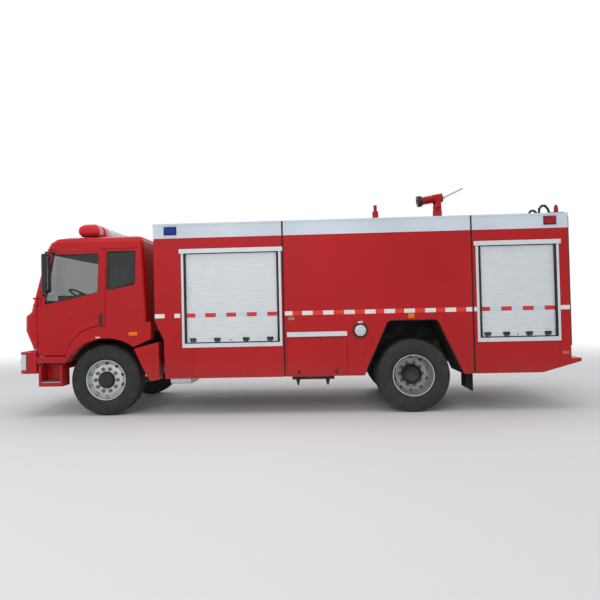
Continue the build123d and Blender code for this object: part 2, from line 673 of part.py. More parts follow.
# Engine and gearbox as one block, with the propeller shaft
ENGINE_X = (FRONT_AXLE_X - 560, FRONT_AXLE_X + 480)
ENGINE_HALF = 320
ENGINE_Z = (640, 1380)
GEARBOX_REAR_X = FRONT_AXLE_X - 1300
GEARBOX_HALF = 210
GEARBOX_Z = (660, 1010)
SHAFT_R = 48
with BuildPart() as powertrain:
    block(*ENGINE_X, -ENGINE_HALF, ENGINE_HALF, *ENGINE_Z)
    block(GEARBOX_REAR_X, ENGINE_X[0] + 10, -GEARBOX_HALF, GEARBOX_HALF, *GEARBOX_Z)
    for x in (FRONT_AXLE_X - 300, FRONT_AXLE_X + 300):
        block(x - 50, x + 50, RAIL_WALL - RAIL_HALF, RAIL_HALF - RAIL_WALL, 860, 920)
    rod((GEARBOX_REAR_X + 30, 0, 800), (REAR_AXLE_X + 130, 0, AXLE_Z + 60), SHAFT_R)
    add(axles.part, mode=Mode.SUBTRACT)
save(powertrain, "powertrain")

# Steering knuckles, each with its kingpin, spindle and track rod arm
SPINDLE_END_Y = FRONT_WHEEL_Y + 118
EAR_Z = BOSS_HEIGHT / 2 + EAR_GAP + EAR_THICK / 2
ARM_Z = AXLE_Z - EAR_Z
TIE_PIN_X = FRONT_AXLE_X - TIE_ARM_BACK
TIE_PIN_Y = KINGPIN_Y
TIE_EYE_Z = ARM_Z - EAR_THICK / 2 - 28
with BuildPart() as knuckle_left:
    for z in (AXLE_Z - EAR_Z, AXLE_Z + EAR_Z):
        with Locations((FRONT_AXLE_X, KINGPIN_Y, z)):
            Cylinder(BOSS_R, EAR_THICK)
        block(
            FRONT_AXLE_X - BOSS_R, FRONT_AXLE_X + BOSS_R, KINGPIN_Y, KINGPIN_Y + 100,
            z - EAR_THICK / 2, z + EAR_THICK / 2,
        )
    with Locations((FRONT_AXLE_X, KINGPIN_Y, AXLE_Z)):
        Cylinder(KINGPIN_R, 2 * EAR_Z)
    block(
        FRONT_AXLE_X - BOSS_R, FRONT_AXLE_X + BOSS_R, KINGPIN_Y + BOSS_R + JOINT_GAP, KINGPIN_Y + 100,
        AXLE_Z - EAR_Z, AXLE_Z + EAR_Z,
    )
    rod((FRONT_AXLE_X, KINGPIN_Y + 90, AXLE_Z), (FRONT_AXLE_X, SPINDLE_END_Y, AXLE_Z), SPINDLE_R)
    with BuildSketch(Plane.XY.offset(ARM_Z - EAR_THICK / 2)):
        with BuildLine():
            Polyline(
                (FRONT_AXLE_X, KINGPIN_Y + 40), (FRONT_AXLE_X, KINGPIN_Y - 45),
                (TIE_PIN_X, TIE_PIN_Y - 28), (TIE_PIN_X, TIE_PIN_Y + 28), close=True,
            )
        make_face()
        with Locations((TIE_PIN_X, TIE_PIN_Y)):
            Circle(28)
    extrude(amount=EAR_THICK)
    rod((TIE_PIN_X, TIE_PIN_Y, TIE_EYE_Z - 22), (TIE_PIN_X, TIE_PIN_Y, ARM_Z), TIE_PIN_R)
save(knuckle_left, "knuckle_left")
with BuildPart() as knuckle_right:
    add(mirror(knuckle_left.part, about=Plane.XZ))
save(knuckle_right, "knuckle_right")
with BuildPart() as tie_rod:
    rod((TIE_PIN_X, -TIE_PIN_Y, TIE_EYE_Z), (TIE_PIN_X, TIE_PIN_Y, TIE_EYE_Z), TIE_ROD_R)
    for side, gap in ((1, RUN_GAP), (-1, 1.5)):
        with Locations((TIE_PIN_X, side * TIE_PIN_Y, TIE_EYE_Z)):
            Cylinder(30, 40)
            Cylinder(TIE_PIN_R + gap, 40, mode=Mode.SUBTRACT)
save(tie_rod, "tie_rod")

# Wheels: one section for a tyre, one for a steered rim and one for a twin rim with its hub
TYRE_SECTION = [
    (-104, RIM_R + SEAT_GAP), (-TYRE_W / 2, 405), (-TREAD_W / 2, TYRE_R),
    (TREAD_W / 2, TYRE_R), (TYRE_W / 2, 405), (104, RIM_R + SEAT_GAP),
]
INNER_TYRE_SECTION = [
    (-118, RIM_R + SEAT_GAP), (-TREAD_W / 2 - 14, TYRE_R),
    (TREAD_W / 2 + 14, TYRE_R), (118, RIM_R + SEAT_GAP),
]
RIM_BORE_R = RIM_R - RIM_WALL
FRONT_RIM_SECTION = [
    (RIM_W / 2, RIM_R), (-RIM_W / 2, RIM_R), (-RIM_W / 2, RIM_BORE_R), (30, RIM_BORE_R - 14),
    (76, 228), (76, 126),
    (-20, 126), (-20, SPINDLE_R + RUN_GAP), (SPINDLE_END_Y - FRONT_WHEEL_Y + 4, SPINDLE_R + RUN_GAP),
    (SPINDLE_END_Y - FRONT_WHEEL_Y + 4, 0), (152, 0), (152, 92), (92, 126), (92, 230), (52, 262),
    (RIM_W / 2, RIM_BORE_R),
]
TWIN_HALF = TWIN_SPACING / 2
HUB_END = REAR_SPINDLE_END - REAR_WHEEL_Y + 4
TWIN_RIM_SECTION = [
    (TWIN_HALF + RIM_W / 2, RIM_R), (-TWIN_HALF - RIM_W / 2, RIM_R), (-TWIN_HALF - RIM_W / 2, RIM_BORE_R),
    (-30, RIM_BORE_R), (-16, 230), (-16, 150), (-235, 150), (-235, REAR_SPINDLE_R + RUN_GAP),
    (HUB_END, REAR_SPINDLE_R + RUN_GAP), (HUB_END, 0), (HUB_END + 40, 0), (HUB_END + 40, 100),
    (HUB_END, 140),
    (16, 140), (16, 230), (30, RIM_BORE_R), (TWIN_HALF + RIM_W / 2, RIM_BORE_R),
]
HAND_HOLE_SIDES = 8
HAND_HOLE_DEPTH = 70
HAND_HOLE_START = 20
Wheel = namedtuple("Wheel", "name x y tyres rim stud_face hole_at hole_r")
WHEELS = (
    Wheel("front", FRONT_AXLE_X, FRONT_WHEEL_Y, ((0, TYRE_SECTION),), FRONT_RIM_SECTION, 92, 246, 13),
    Wheel(
        "rear", REAR_AXLE_X, REAR_WHEEL_Y, ((TWIN_HALF, TYRE_SECTION), (-TWIN_HALF, INNER_TYRE_SECTION)),
        TWIN_RIM_SECTION, 16, 246, 19,
    ),
)
for wheel in WHEELS:
    for side_name, side in (("left", 1), ("right", -1)):
        place = wheel_plane(wheel.x, side * wheel.y, side)
        turn = Axis((wheel.x, side * wheel.y, AXLE_Z), (0, 1, 0))
        with BuildPart() as tyre:
            for shift, section in wheel.tyres:
                with BuildSketch(place):
                    with BuildLine():
                        Polyline(*[(u + shift, r) for u, r in section], close=True)
                    make_face()
                revolve(axis=turn)
        save(tyre, f"{wheel.name}_tyre_{side_name}")
        with BuildPart() as rim:
            with BuildSketch(place):
                with BuildLine():
                    Polyline(*wheel.rim, close=True)
                make_face()
            revolve(axis=turn)
            face = Plane(origin=place.origin, z_dir=(0, side, 0)).offset(wheel.stud_face)
            with BuildSketch(face):
                with PolarLocations(STUD_CIRCLE_R, STUD_COUNT):
                    RegularPolygon(17, 6)
            extrude(amount=34)
            with BuildSketch(face.offset(HAND_HOLE_START)):
                with PolarLocations(wheel.hole_at, STUD_COUNT, start_angle=180 / STUD_COUNT):
                    RegularPolygon(wheel.hole_r, HAND_HOLE_SIDES)
            extrude(amount=-HAND_HOLE_START - HAND_HOLE_DEPTH, mode=Mode.SUBTRACT)
        save(rim, f"{wheel.name}_rim_{side_name}")

# Bumper: a bowed hollow beam with lamp pockets
LAMP_Z = 815
LAMP_HALF_Z = 115
LAMP_IN_Y = 760
LAMP_REACH = 175
with BuildPart() as front_bumper:
    for inset, mode, low, top in (
        (0, Mode.ADD, BUMPER_LOW_Z, BUMPER_TOP_Z),
        (BUMPER_WALL, Mode.SUBTRACT, BUMPER_LOW_Z - 1, BUMPER_TOP_Z + 1),
    ):
        front, half = BUMPER_FRONT_X - inset, FLARE_HALF - 5 - inset
        with BuildSketch(Plane.XY.offset(low)) as section:
            with BuildLine():
                ThreePointArc((front - CAB_BOW, -half), (front, 0), (front - CAB_BOW, half))
                Polyline(
                    (front - CAB_BOW, half), (BUMPER_REAR_X, half), (BUMPER_REAR_X, -half),
                    (front - CAB_BOW, -half),
                )
            make_face()
            fillet(section.vertices().sort_by(Axis.X)[-2:], CAB_FRONT_CORNER - inset)
        extrude(amount=top - low, mode=mode)
    for side in (-1, 1):
        y_in, y_out = span(side, LAMP_IN_Y, FLARE_HALF + 10)
        cut(
            BUMPER_FRONT_X - LAMP_REACH - SEAT_GAP, BUMPER_FRONT_X, y_in, y_out, LAMP_Z - LAMP_HALF_Z,
            LAMP_Z + LAMP_HALF_Z,
        )
    for side in (-1, 1):
        y_in, y_out = span(side, RAIL_HALF - 20, RAIL_HALF + 20)
        block(
            RAIL_FRONT_X - 60, BUMPER_FRONT_X - BUMPER_WALL, y_in, y_out, BUMPER_LOW_Z + 20,
            RAIL_BOTTOM_Z,
        )
save(front_bumper, "front_bumper")

# Headlamps fill the bumper's pockets; round work lamps sit on the tank module's sides
WORK_LAMP = (REAR_AXLE_X + 747, 1184)
WORK_LAMP_R = 92
WORK_LAMP_DEPTH = 60
WORK_LAMP_PROUD = 28
with BuildPart() as headlamps:
    with BuildSketch(Plane.XY.offset(LAMP_Z - LAMP_HALF_Z + SEAT_GAP)) as section:
        with BuildLine():
            ThreePointArc(
                (BUMPER_FRONT_X - CAB_BOW - 4, -FLARE_HALF + 9), (BUMPER_FRONT_X - 4, 0),
                (BUMPER_FRONT_X - CAB_BOW - 4, FLARE_HALF - 9),
            )
            Polyline(
                (BUMPER_FRONT_X - CAB_BOW - 4, FLARE_HALF - 9), (BUMPER_REAR_X, FLARE_HALF - 9),
                (BUMPER_REAR_X, 9 - FLARE_HALF), (BUMPER_FRONT_X - CAB_BOW - 4, 9 - FLARE_HALF),
            )
        make_face()
        fillet(section.vertices().sort_by(Axis.X)[-2:], CAB_FRONT_CORNER - 4)
    extrude(amount=2 * (LAMP_HALF_Z - SEAT_GAP))
    cut(
        BUMPER_FRONT_X - 400, BUMPER_FRONT_X, -LAMP_IN_Y - SEAT_GAP, LAMP_IN_Y + SEAT_GAP, 0,
        FASCIA_TOP_Z,
    )
    cut(BUMPER_REAR_X - 1, BUMPER_FRONT_X - LAMP_REACH, -FLARE_HALF, FLARE_HALF, 0, FASCIA_TOP_Z)
    for side in (-1, 1):
        rod(
            (WORK_LAMP[0], side * (BODY_HALF - WORK_LAMP_DEPTH), WORK_LAMP[1]),
            (WORK_LAMP[0], side * (BODY_HALF + WORK_LAMP_PROUD), WORK_LAMP[1]), WORK_LAMP_R,
        )
save(headlamps, "headlamps")

# Cab steps and the lower mudguards behind the front wheels, carried on frame brackets
GUARD = [
    (FRONT_AXLE_X - 461, 985), (FRONT_AXLE_X - 831, 1075), (FRONT_AXLE_X - 832, 527),
    (FRONT_AXLE_X - 693, 518), (FRONT_AXLE_X - 622, 640),
]
GUARD_SKIN = 20
with BuildPart() as front_guards:
    y_in = FLARE_HALF - 5 - STEP_DEPTH
    block(STEP_FRONT_X - STEP_LENGTH, STEP_FRONT_X, y_in, FLARE_HALF - 5, STEP_LOW_Z, STEP_TOP_Z)
    cut(
        STEP_FRONT_X - STEP_LENGTH + STEP_WALL, STEP_FRONT_X - STEP_WALL, y_in + STEP_WALL, FLARE_HALF,
        STEP_LOW_Z + 55, STEP_TOP_Z + 1,
    )
    block(STEP_FRONT_X - 300, STEP_FRONT_X - 220, RAIL_HALF, y_in + 5, 690, RAIL_BOTTOM_Z + 40)
    extrude(side_face(GUARD, FLARE_HALF - 5, 18), amount=FLARE_DEPTH)
    pocket = side_face(GUARD, FLARE_HALF - 5 - GUARD_SKIN, 18, GUARD_SKIN)
    extrude(pocket, amount=FLARE_DEPTH, mode=Mode.SUBTRACT)
    block(FRONT_AXLE_X - 830, FRONT_AXLE_X - 770, RAIL_HALF, FLARE_HALF - 30, 800, 880)
    mirror(about=Plane.XZ)
save(front_guards, "front_guards")

# Body modules. Shutter openings: side of which module, ends and heights
Shutter = namedtuple("Shutter", "x0 x1")
FRONT_SHUTTER = Shutter(FRONT_SEAM_X + 28, FRONT_SEAM_X + 1479)
REAR_SHUTTER = Shutter(REAR_SEAM_X - 1212, REAR_SEAM_X - 54)
SHUTTER_LOW_Z = 985
SHUTTER_TOP_Z = 2410
SHUTTER_RAIL = 58
TAIL_SHUTTER_Y = (-640, 480)
TAIL_SHUTTER_LOW_Z = FLOOR_Z + 60
TAIL_LOW_Z = 651
PANEL_LINE = (6, 4)
MODULE_FRONT_KINK = [(BODY_FRONT_X, 1387), (BODY_FRONT_X - 129, 1093), (BODY_FRONT_X - 141, SKIRT_Z)]


def panel_line(x):
    """Cuts an upright panel line at X into both sides of the current module, under its shutters."""
    width, depth = PANEL_LINE
    for side in (-1, 1):
        y_in, y_out = span(side, BODY_HALF - depth, BODY_HALF + 1)
        cut(x - width / 2, x + width / 2, y_in, y_out, SKIRT_Z - 1, SHUTTER_LOW_Z)


with BuildPart() as front_module:
    outline = [
        (FRONT_SEAM_X + MODULE_GAP / 2, SKIRT_Z), (FRONT_SEAM_X + MODULE_GAP / 2, DECK_Z),
        (BODY_FRONT_X, DECK_Z), *MODULE_FRONT_KINK,
    ]
    extrude(side_face(outline, BODY_HALF), amount=2 * BODY_HALF)
    cut(FRONT_SEAM_X, BODY_FRONT_X + 1, -TUNNEL_HALF, TUNNEL_HALF, SKIRT_Z - 1, FLOOR_Z)
    inner_rear_x = FRONT_SEAM_X + MODULE_GAP / 2 + BODY_SKIN
    room = [
        (inner_rear_x, FLOOR_Z + BODY_SKIN), (inner_rear_x, DECK_Z - BODY_SKIN),
        (BODY_FRONT_X - BODY_SKIN, DECK_Z - BODY_SKIN),
        (BODY_FRONT_X - BODY_SKIN, MODULE_FRONT_KINK[0][1] + 15),
        (MODULE_FRONT_KINK[1][0] - BODY_SKIN, MODULE_FRONT_KINK[1][1] + 15),
        (MODULE_FRONT_KINK[1][0] - BODY_SKIN, FLOOR_Z + BODY_SKIN),
    ]
    room_half = BODY_HALF - BODY_SKIN
    extrude(side_face(room, room_half), amount=2 * room_half, mode=Mode.SUBTRACT)
    cut(
        inner_rear_x, MODULE_FRONT_KINK[2][0] - BODY_SKIN, BODY_SKIN - BODY_HALF, BODY_HALF - BODY_SKIN,
        SKIRT_Z - 1, FLOOR_Z - BODY_SKIN,
    )
    cut(FRONT_SHUTTER.x0, FRONT_SHUTTER.x1, -BODY_HALF - 1, BODY_HALF + 1, SHUTTER_LOW_Z, SHUTTER_TOP_Z)
    panel_line(FRONT_SHUTTER.x1 - 137)
save(front_module, "front_module")

# Fuel tank on the left frame rail, showing a little under the front module's skirt
FUEL_TANK_X = (MODULE_FRONT_KINK[2][0] - 360, MODULE_FRONT_KINK[2][0] - 60)
FUEL_TANK_Y = (640, BODY_HALF - BODY_SKIN - 15)
FUEL_TANK_Z = (452, 880)
FUEL_TANK_CORNER = 70
with BuildPart() as fuel_tank:
    block(*FUEL_TANK_X, *FUEL_TANK_Y, *FUEL_TANK_Z)
    fillet(fuel_tank.edges().filter_by(Axis.X), FUEL_TANK_CORNER)
    for x in (FUEL_TANK_X[0] + 60, FUEL_TANK_X[1] - 60):
        block(x - 25, x + 25, RAIL_HALF, FUEL_TANK_Y[0] + 40, RAIL_BOTTOM_Z + 10, RAIL_BOTTOM_Z + 80)
save(fuel_tank, "fuel_tank")

# Tank module with wheel openings and a locker each side
ARCH_TOP_HALF = 352
ARCH_LOW_HALF = 735
ARCH_TOP_Z = 1322
ARCH_CORNER = 90
ARCH_BAND = 95
ARCH_PROUD = 6
LOCKER_X = (REAR_AXLE_X + 938, REAR_AXLE_X + 1797)
LOCKER_TOP_Z = 1103
LOCKER_DEPTH = 560
LINER = 12
arch = [
    (REAR_AXLE_X - ARCH_LOW_HALF, SKIRT_Z - 60), (REAR_AXLE_X - ARCH_TOP_HALF, ARCH_TOP_Z),
    (REAR_AXLE_X + ARCH_TOP_HALF, ARCH_TOP_Z), (REAR_AXLE_X + ARCH_LOW_HALF, SKIRT_Z - 60),
]


def arch_face(drawn_in, y):
    """The rear wheel opening seen from the side, its upper corners rounded."""
    with BuildSketch(side_plane(y)) as outline:
        with BuildLine():
            Polyline(*arch, close=True)
        make_face()
        fillet(outline.vertices().sort_by(Axis.Y)[-2:], ARCH_CORNER)
        if drawn_in:
            offset(amount=-drawn_in, mode=Mode.REPLACE)
    return outline.sketch


with BuildPart() as tank_module:
    block(
        REAR_SEAM_X + MODULE_GAP / 2, FRONT_SEAM_X - MODULE_GAP / 2, -BODY_HALF, BODY_HALF, SKIRT_Z,
        DECK_Z,
    )
    cut(REAR_SEAM_X, FRONT_SEAM_X, -TUNNEL_HALF, TUNNEL_HALF, SKIRT_Z - 1, FLOOR_Z)
    cut(
        REAR_SEAM_X + MODULE_GAP / 2 + BODY_SKIN, FRONT_SEAM_X - MODULE_GAP / 2 - BODY_SKIN,
        BODY_SKIN - BODY_HALF, BODY_HALF - BODY_SKIN, ARCH_TOP_Z + 80, DECK_Z - BODY_SKIN,
    )
    for side in (-1, 1):
        band_y = BODY_HALF + ARCH_PROUD
        extrude(arch_face(-ARCH_BAND, band_y if side > 0 else 1 - BODY_HALF), amount=ARCH_PROUD + 1)
        depth = band_y - TUNNEL_HALF + 1
        y_start = band_y + 1 if side > 0 else -TUNNEL_HALF + 0.5
        extrude(arch_face(0, y_start), amount=depth, mode=Mode.SUBTRACT)
        y_in, y_out = span(side, BODY_HALF - LOCKER_DEPTH, BODY_HALF + 1)
        cut(LOCKER_X[0], LOCKER_X[1], y_in, y_out, SKIRT_Z + 30, LOCKER_TOP_Z)
        y_in, y_out = span(side, BODY_HALF - 32, BODY_HALF + 1)
        cut(LOCKER_X[0], LOCKER_X[1], y_in, y_out, SKIRT_Z - 1, LOCKER_TOP_Z)
        rod(
            (WORK_LAMP[0], side * (BODY_HALF - WORK_LAMP_DEPTH - 0.5), WORK_LAMP[1]),
            (WORK_LAMP[0], side * (BODY_HALF + 1), WORK_LAMP[1]), WORK_LAMP_R + 0.5, Mode.SUBTRACT,
        )
    cut(REAR_SEAM_X, FRONT_SEAM_X, -CAB_REACH, CAB_REACH, 0, SKIRT_Z)
save(tank_module, "tank_module")

with BuildPart() as wheel_housings:
    extrude(arch_face(0.3, BODY_HALF - 8), amount=BODY_HALF - 8 - TUNNEL_HALF - 5)
    extrude(arch_face(LINER, BODY_HALF + 1), amount=BODY_HALF - TUNNEL_HALF, mode=Mode.SUBTRACT)
    cut(REAR_AXLE_X - 2 * ARCH_LOW_HALF, REAR_AXLE_X + 2 * ARCH_LOW_HALF, 0, BODY_HALF, 0, SKIRT_Z)
    block(REAR_SEAM_X + 24, REAR_SEAM_X + 38, REAR_WHEEL_Y - 310, BODY_HALF - 30, 289, SKIRT_Z)
    mirror(about=Plane.XZ)
save(wheel_housings, "wheel_housings")

with BuildPart() as rear_module:
    outline = [
        (REAR_SEAM_X - MODULE_GAP / 2, SKIRT_Z), (REAR_SEAM_X - MODULE_GAP / 2, DECK_Z),
        (BODY_REAR_X, DECK_Z), (BODY_REAR_X, TAIL_LOW_Z), (REAR_AXLE_X - 1809, SKIRT_Z),
    ]
    extrude(side_face(outline, BODY_HALF), amount=2 * BODY_HALF)
    cut(BODY_REAR_X - 1, REAR_SEAM_X, -TUNNEL_HALF, TUNNEL_HALF, SKIRT_Z - 1, FLOOR_Z)
    cut(
        BODY_REAR_X + BODY_SKIN, REAR_SEAM_X - MODULE_GAP / 2 - BODY_SKIN, BODY_SKIN - BODY_HALF,
        BODY_HALF - BODY_SKIN, SKIRT_Z - 1, FLOOR_Z - BODY_SKIN,
    )
    cut(
        BODY_REAR_X + BODY_SKIN, REAR_SEAM_X - MODULE_GAP / 2 - BODY_SKIN, BODY_SKIN - BODY_HALF,
        BODY_HALF - BODY_SKIN, FLOOR_Z + BODY_SKIN, DECK_Z - BODY_SKIN,
    )
    cut(REAR_SHUTTER.x0, REAR_SHUTTER.x1, -BODY_HALF - 1, BODY_HALF + 1, SHUTTER_LOW_Z, SHUTTER_TOP_Z)
    cut(
        BODY_REAR_X - 1, BODY_REAR_X + BODY_SKIN + 1, *TAIL_SHUTTER_Y, TAIL_SHUTTER_LOW_Z, SHUTTER_TOP_Z
    )
    panel_line(REAR_SHUTTER.x0 + 13)
save(rear_module, "rear_module")

# White fascia round the roof
with BuildPart() as roof_fascia:
    y_out = BODY_HALF + FASCIA_PROUD
    block(BODY_REAR_X - FASCIA_PROUD, BODY_FRONT_X + FASCIA_PROUD, -y_out, y_out, DECK_Z, FASCIA_TOP_Z)
    lip_proud, lip_height = FASCIA_LIP
    block(
        BODY_REAR_X - FASCIA_PROUD - lip_proud, BODY_FRONT_X + FASCIA_PROUD + lip_proud,
        -y_out - lip_proud, y_out + lip_proud, FASCIA_TOP_Z - lip_height, FASCIA_TOP_Z,
    )
    cut(
        BODY_REAR_X + FASCIA_WALL, BODY_FRONT_X - FASCIA_WALL, FASCIA_WALL - y_out, y_out - FASCIA_WALL,
        DECK_Z - 1, FASCIA_TOP_Z + 1,
    )
    for x in (FRONT_SEAM_X, REAR_SEAM_X):
        cut(x - MODULE_GAP / 2, x + MODULE_GAP / 2, -CAB_REACH, CAB_REACH, DECK_Z - 1, FASCIA_TOP_Z + 1)
save(roof_fascia, "roof_fascia")

# Shutters: aluminium frames, and curtains of narrow slats
SLAT_PITCH = 35
SLAT_GROOVE = 4
CURTAIN_FACE = BODY_HALF - 12
CURTAIN_THICK = 14


def slat_points(low, top):
    """Outline of a curtain's edge: shallow grooves between slats in front, flat behind."""
    points = [(0, low)]
    count = int((top - low) // SLAT_PITCH)
    pitch = (top - low) / count
    for i in range(count):
        z = low + i * pitch
        points += [
            (CURTAIN_THICK - SLAT_GROOVE, z + 2), (CURTAIN_THICK, z + 7), (CURTAIN_THICK, z + pitch - 4)
        ]
    return points + [(CURTAIN_THICK - SLAT_GROOVE, top), (0, top)]


curtain_low, curtain_top = SHUTTER_LOW_Z + SHUTTER_RAIL, SHUTTER_TOP_Z - SHUTTER_RAIL
with BuildPart() as shutter_curtains:
    for shutter in (FRONT_SHUTTER, REAR_SHUTTER):
        back_y = CURTAIN_FACE - CURTAIN_THICK
        with BuildSketch(cross_plane(shutter.x0 + SHUTTER_RAIL)):
            with BuildLine():
                Polyline(*[(back_y + d, z) for d, z in slat_points(curtain_low, curtain_top)], close=True)
            make_face()
        extrude(amount=shutter.x1 - shutter.x0 - 2 * SHUTTER_RAIL)
    mirror(about=Plane.XZ)
    tail_points = slat_points(TAIL_SHUTTER_LOW_Z + SHUTTER_RAIL, curtain_top)
    with BuildSketch(side_plane(TAIL_SHUTTER_Y[1] - SHUTTER_RAIL)):
        with BuildLine():
            Polyline(*[(BODY_REAR_X + 12 + CURTAIN_THICK - d, z) for d, z in tail_points], close=True)
        make_face()
    extrude(amount=TAIL_SHUTTER_Y[1] - TAIL_SHUTTER_Y[0] - 2 * SHUTTER_RAIL)
save(shutter_curtains, "shutter_curtains")

FRAME_DEPTH = 45
FRAME_PROUD = 12
HEADER_PROUD = 28
HEADER_OVERHANG = 25
with BuildPart() as shutter_frames:
    for shutter in (FRONT_SHUTTER, REAR_SHUTTER):
        y_in, y_out = BODY_HALF - FRAME_DEPTH + FRAME_PROUD, BODY_HALF + FRAME_PROUD
        block(shutter.x0, shutter.x1, y_in, y_out, SHUTTER_LOW_Z, SHUTTER_TOP_Z)
        cut(
            shutter.x0 + SHUTTER_RAIL, shutter.x1 - SHUTTER_RAIL, y_in - 1, y_out + 1, curtain_low,
            curtain_top,
        )
        block(
            shutter.x0 - HEADER_OVERHANG, shutter.x1 + HEADER_OVERHANG, BODY_HALF,
            BODY_HALF + HEADER_PROUD, SHUTTER_TOP_Z - SHUTTER_RAIL, SHUTTER_TOP_Z + 4,
        )
    mirror(about=Plane.XZ)
    x_out, x_in = BODY_REAR_X - FRAME_PROUD, BODY_REAR_X + FRAME_DEPTH - FRAME_PROUD
    block(x_out, x_in, TAIL_SHUTTER_Y[0], TAIL_SHUTTER_Y[1], TAIL_SHUTTER_LOW_Z, SHUTTER_TOP_Z)
    cut(
        x_out - 1, x_in + 1, TAIL_SHUTTER_Y[0] + SHUTTER_RAIL, TAIL_SHUTTER_Y[1] - SHUTTER_RAIL,
        TAIL_SHUTTER_LOW_Z + SHUTTER_RAIL, curtain_top,
    )
save(shutter_frames, "shutter_frames")

# Locker flaps hinged under an aluminium gutter
FLAP_THICK = 28
FLAP_HINGE_Z = LOCKER_TOP_Z - 8
FLAP_HINGE_R = 8
with BuildPart() as locker_flap_left:
    block(LOCKER_X[0] + 4, LOCKER_X[1] - 4, BODY_HALF - FLAP_THICK, BODY_HALF, SKIRT_Z, FLAP_HINGE_Z)
    rod(
        (LOCKER_X[0] + 10, BODY_HALF, FLAP_HINGE_Z), (LOCKER_X[1] - 10, BODY_HALF, FLAP_HINGE_Z),
        FLAP_HINGE_R,
    )
save(locker_flap_left, "locker_flap_left")
with BuildPart() as locker_flap_right:
    add(mirror(locker_flap_left.part, about=Plane.XZ))
save(locker_flap_right, "locker_flap_right")
with BuildPart() as locker_gutters:
    block(LOCKER_X[0], LOCKER_X[1], BODY_HALF, BODY_HALF + 25, LOCKER_TOP_Z + 8, LOCKER_TOP_Z + 75)
    mirror(about=Plane.XZ)
save(locker_gutters, "locker_gutters")

# Rear step, ladder and drain valves
REAR_STEP_Z = (689, 735)
with BuildPart() as rear_step:
    outline = [
        (BODY_REAR_X, TAIL_LOW_Z), (STEP_REAR_X, REAR_STEP_Z[0]), (STEP_REAR_X, REAR_STEP_Z[1]),
        (BODY_REAR_X, REAR_STEP_Z[1]),
    ]
    extrude(side_face(outline, BODY_HALF), amount=2 * BODY_HALF)
    for side in (-1, 1):
        y_in, y_out = span(side, RAIL_HALF - RAIL_FLANGE, RAIL_HALF)
        block(BODY_REAR_X - 1, RAIL_REAR_X + 100, y_in, y_out, 660, RAIL_BOTTOM_Z)
save(rear_step, "rear_step")

LADDER_Y = (640, 1040)
LADDER_X = BODY_REAR_X - 90
LADDER_LOW_Z = 900
LADDER_TOP_Z = 2930
OVER_Z = FASCIA_TOP_Z + 28
RUNG_COUNT = 6
RUNG_PITCH = 300
TUBE_R = 17
# A stile: up the tail, over the fascia, and down to the deck through a hand loop
STILE = [
    (LADDER_X, LADDER_LOW_Z), (LADDER_X, OVER_Z - 50), (LADDER_X + 50, OVER_Z), (LADDER_X + 250, OVER_Z),
    (LADDER_X + 270, LADDER_TOP_Z - 45), (LADDER_X + 310, LADDER_TOP_Z), (LADDER_X + 355, LADDER_TOP_Z),
    (LADDER_X + 395, LADDER_TOP_Z - 45), (LADDER_X + 395, DECK_Z),
]
with BuildPart() as rear_ladder:
    for y in LADDER_Y:
        for start, end in zip(STILE, STILE[1:]):
            rod((start[0], y, start[1]), (end[0], y, end[1]), TUBE_R)
        for x, z in STILE[1:-1]:
            with Locations((x, y, z)):
                Sphere(TUBE_R)
        for z in (LADDER_LOW_Z + 30, 1650, 2350):
            rod((LADDER_X, y, z), (BODY_REAR_X, y, z), 12)
    for i in range(RUNG_COUNT):
        z = LADDER_LOW_Z + 60 + i * RUNG_PITCH
        rod((LADDER_X, LADDER_Y[0], z), (LADDER_X, LADDER_Y[1], z), 14)
save(rear_ladder, "rear_ladder")

with BuildPart() as drain_valves:
    for side in (-1, 1):
        y = side * 1000
        block(REAR_AXLE_X + 1126, REAR_AXLE_X + 1749, y - 30, y + 30, 470, SKIRT_Z)
        for x in (REAR_AXLE_X + 1225, REAR_AXLE_X + 1663):
            with Locations((x, y, 430)):
                Cone(12, 34, 90)
save(drain_valves, "drain_valves")

# Lamps
LAMP_PROUD = 30
CORNER_LAMP_Z = (2630, 2737)
ROUND_LAMP_Y, ROUND_LAMP_Z, ROUND_LAMP_R = 1130, 2498, 45
TAIL_LAMP_Y = (800, 1160)
TAIL_LAMP_Z = (790, 890)
BEACON_Y, BEACON_TOP_Z, BEACON_R = 1150, 2925, 32
with BuildPart() as blue_lamps:
    for side in (-1, 1):
        y_in, y_out = span(side, BODY_HALF + FASCIA_PROUD, BODY_HALF + LAMP_PROUD)
        block(BODY_FRONT_X - 336, BODY_FRONT_X - 162, y_in, y_out, *CORNER_LAMP_Z)
save(blue_lamps, "blue_lamps")
with BuildPart() as red_lamps:
    for side in (-1, 1):
        y_in, y_out = span(side, BODY_HALF + FASCIA_PROUD, BODY_HALF + LAMP_PROUD)
        block(BODY_REAR_X + 165, BODY_REAR_X + 327, y_in, y_out, *CORNER_LAMP_Z)
        rod(
            (BODY_REAR_X, side * ROUND_LAMP_Y, ROUND_LAMP_Z),
            (BODY_REAR_X - 42, side * ROUND_LAMP_Y, ROUND_LAMP_Z), ROUND_LAMP_R,
        )
        block(BODY_REAR_X - 40, BODY_REAR_X, *span(side, *TAIL_LAMP_Y), *TAIL_LAMP_Z)
        beacon = (BODY_REAR_X + 110, side * BEACON_Y)
        rod((*beacon, DECK_Z), (*beacon, BEACON_TOP_Z), BEACON_R)
save(red_lamps, "red_lamps")

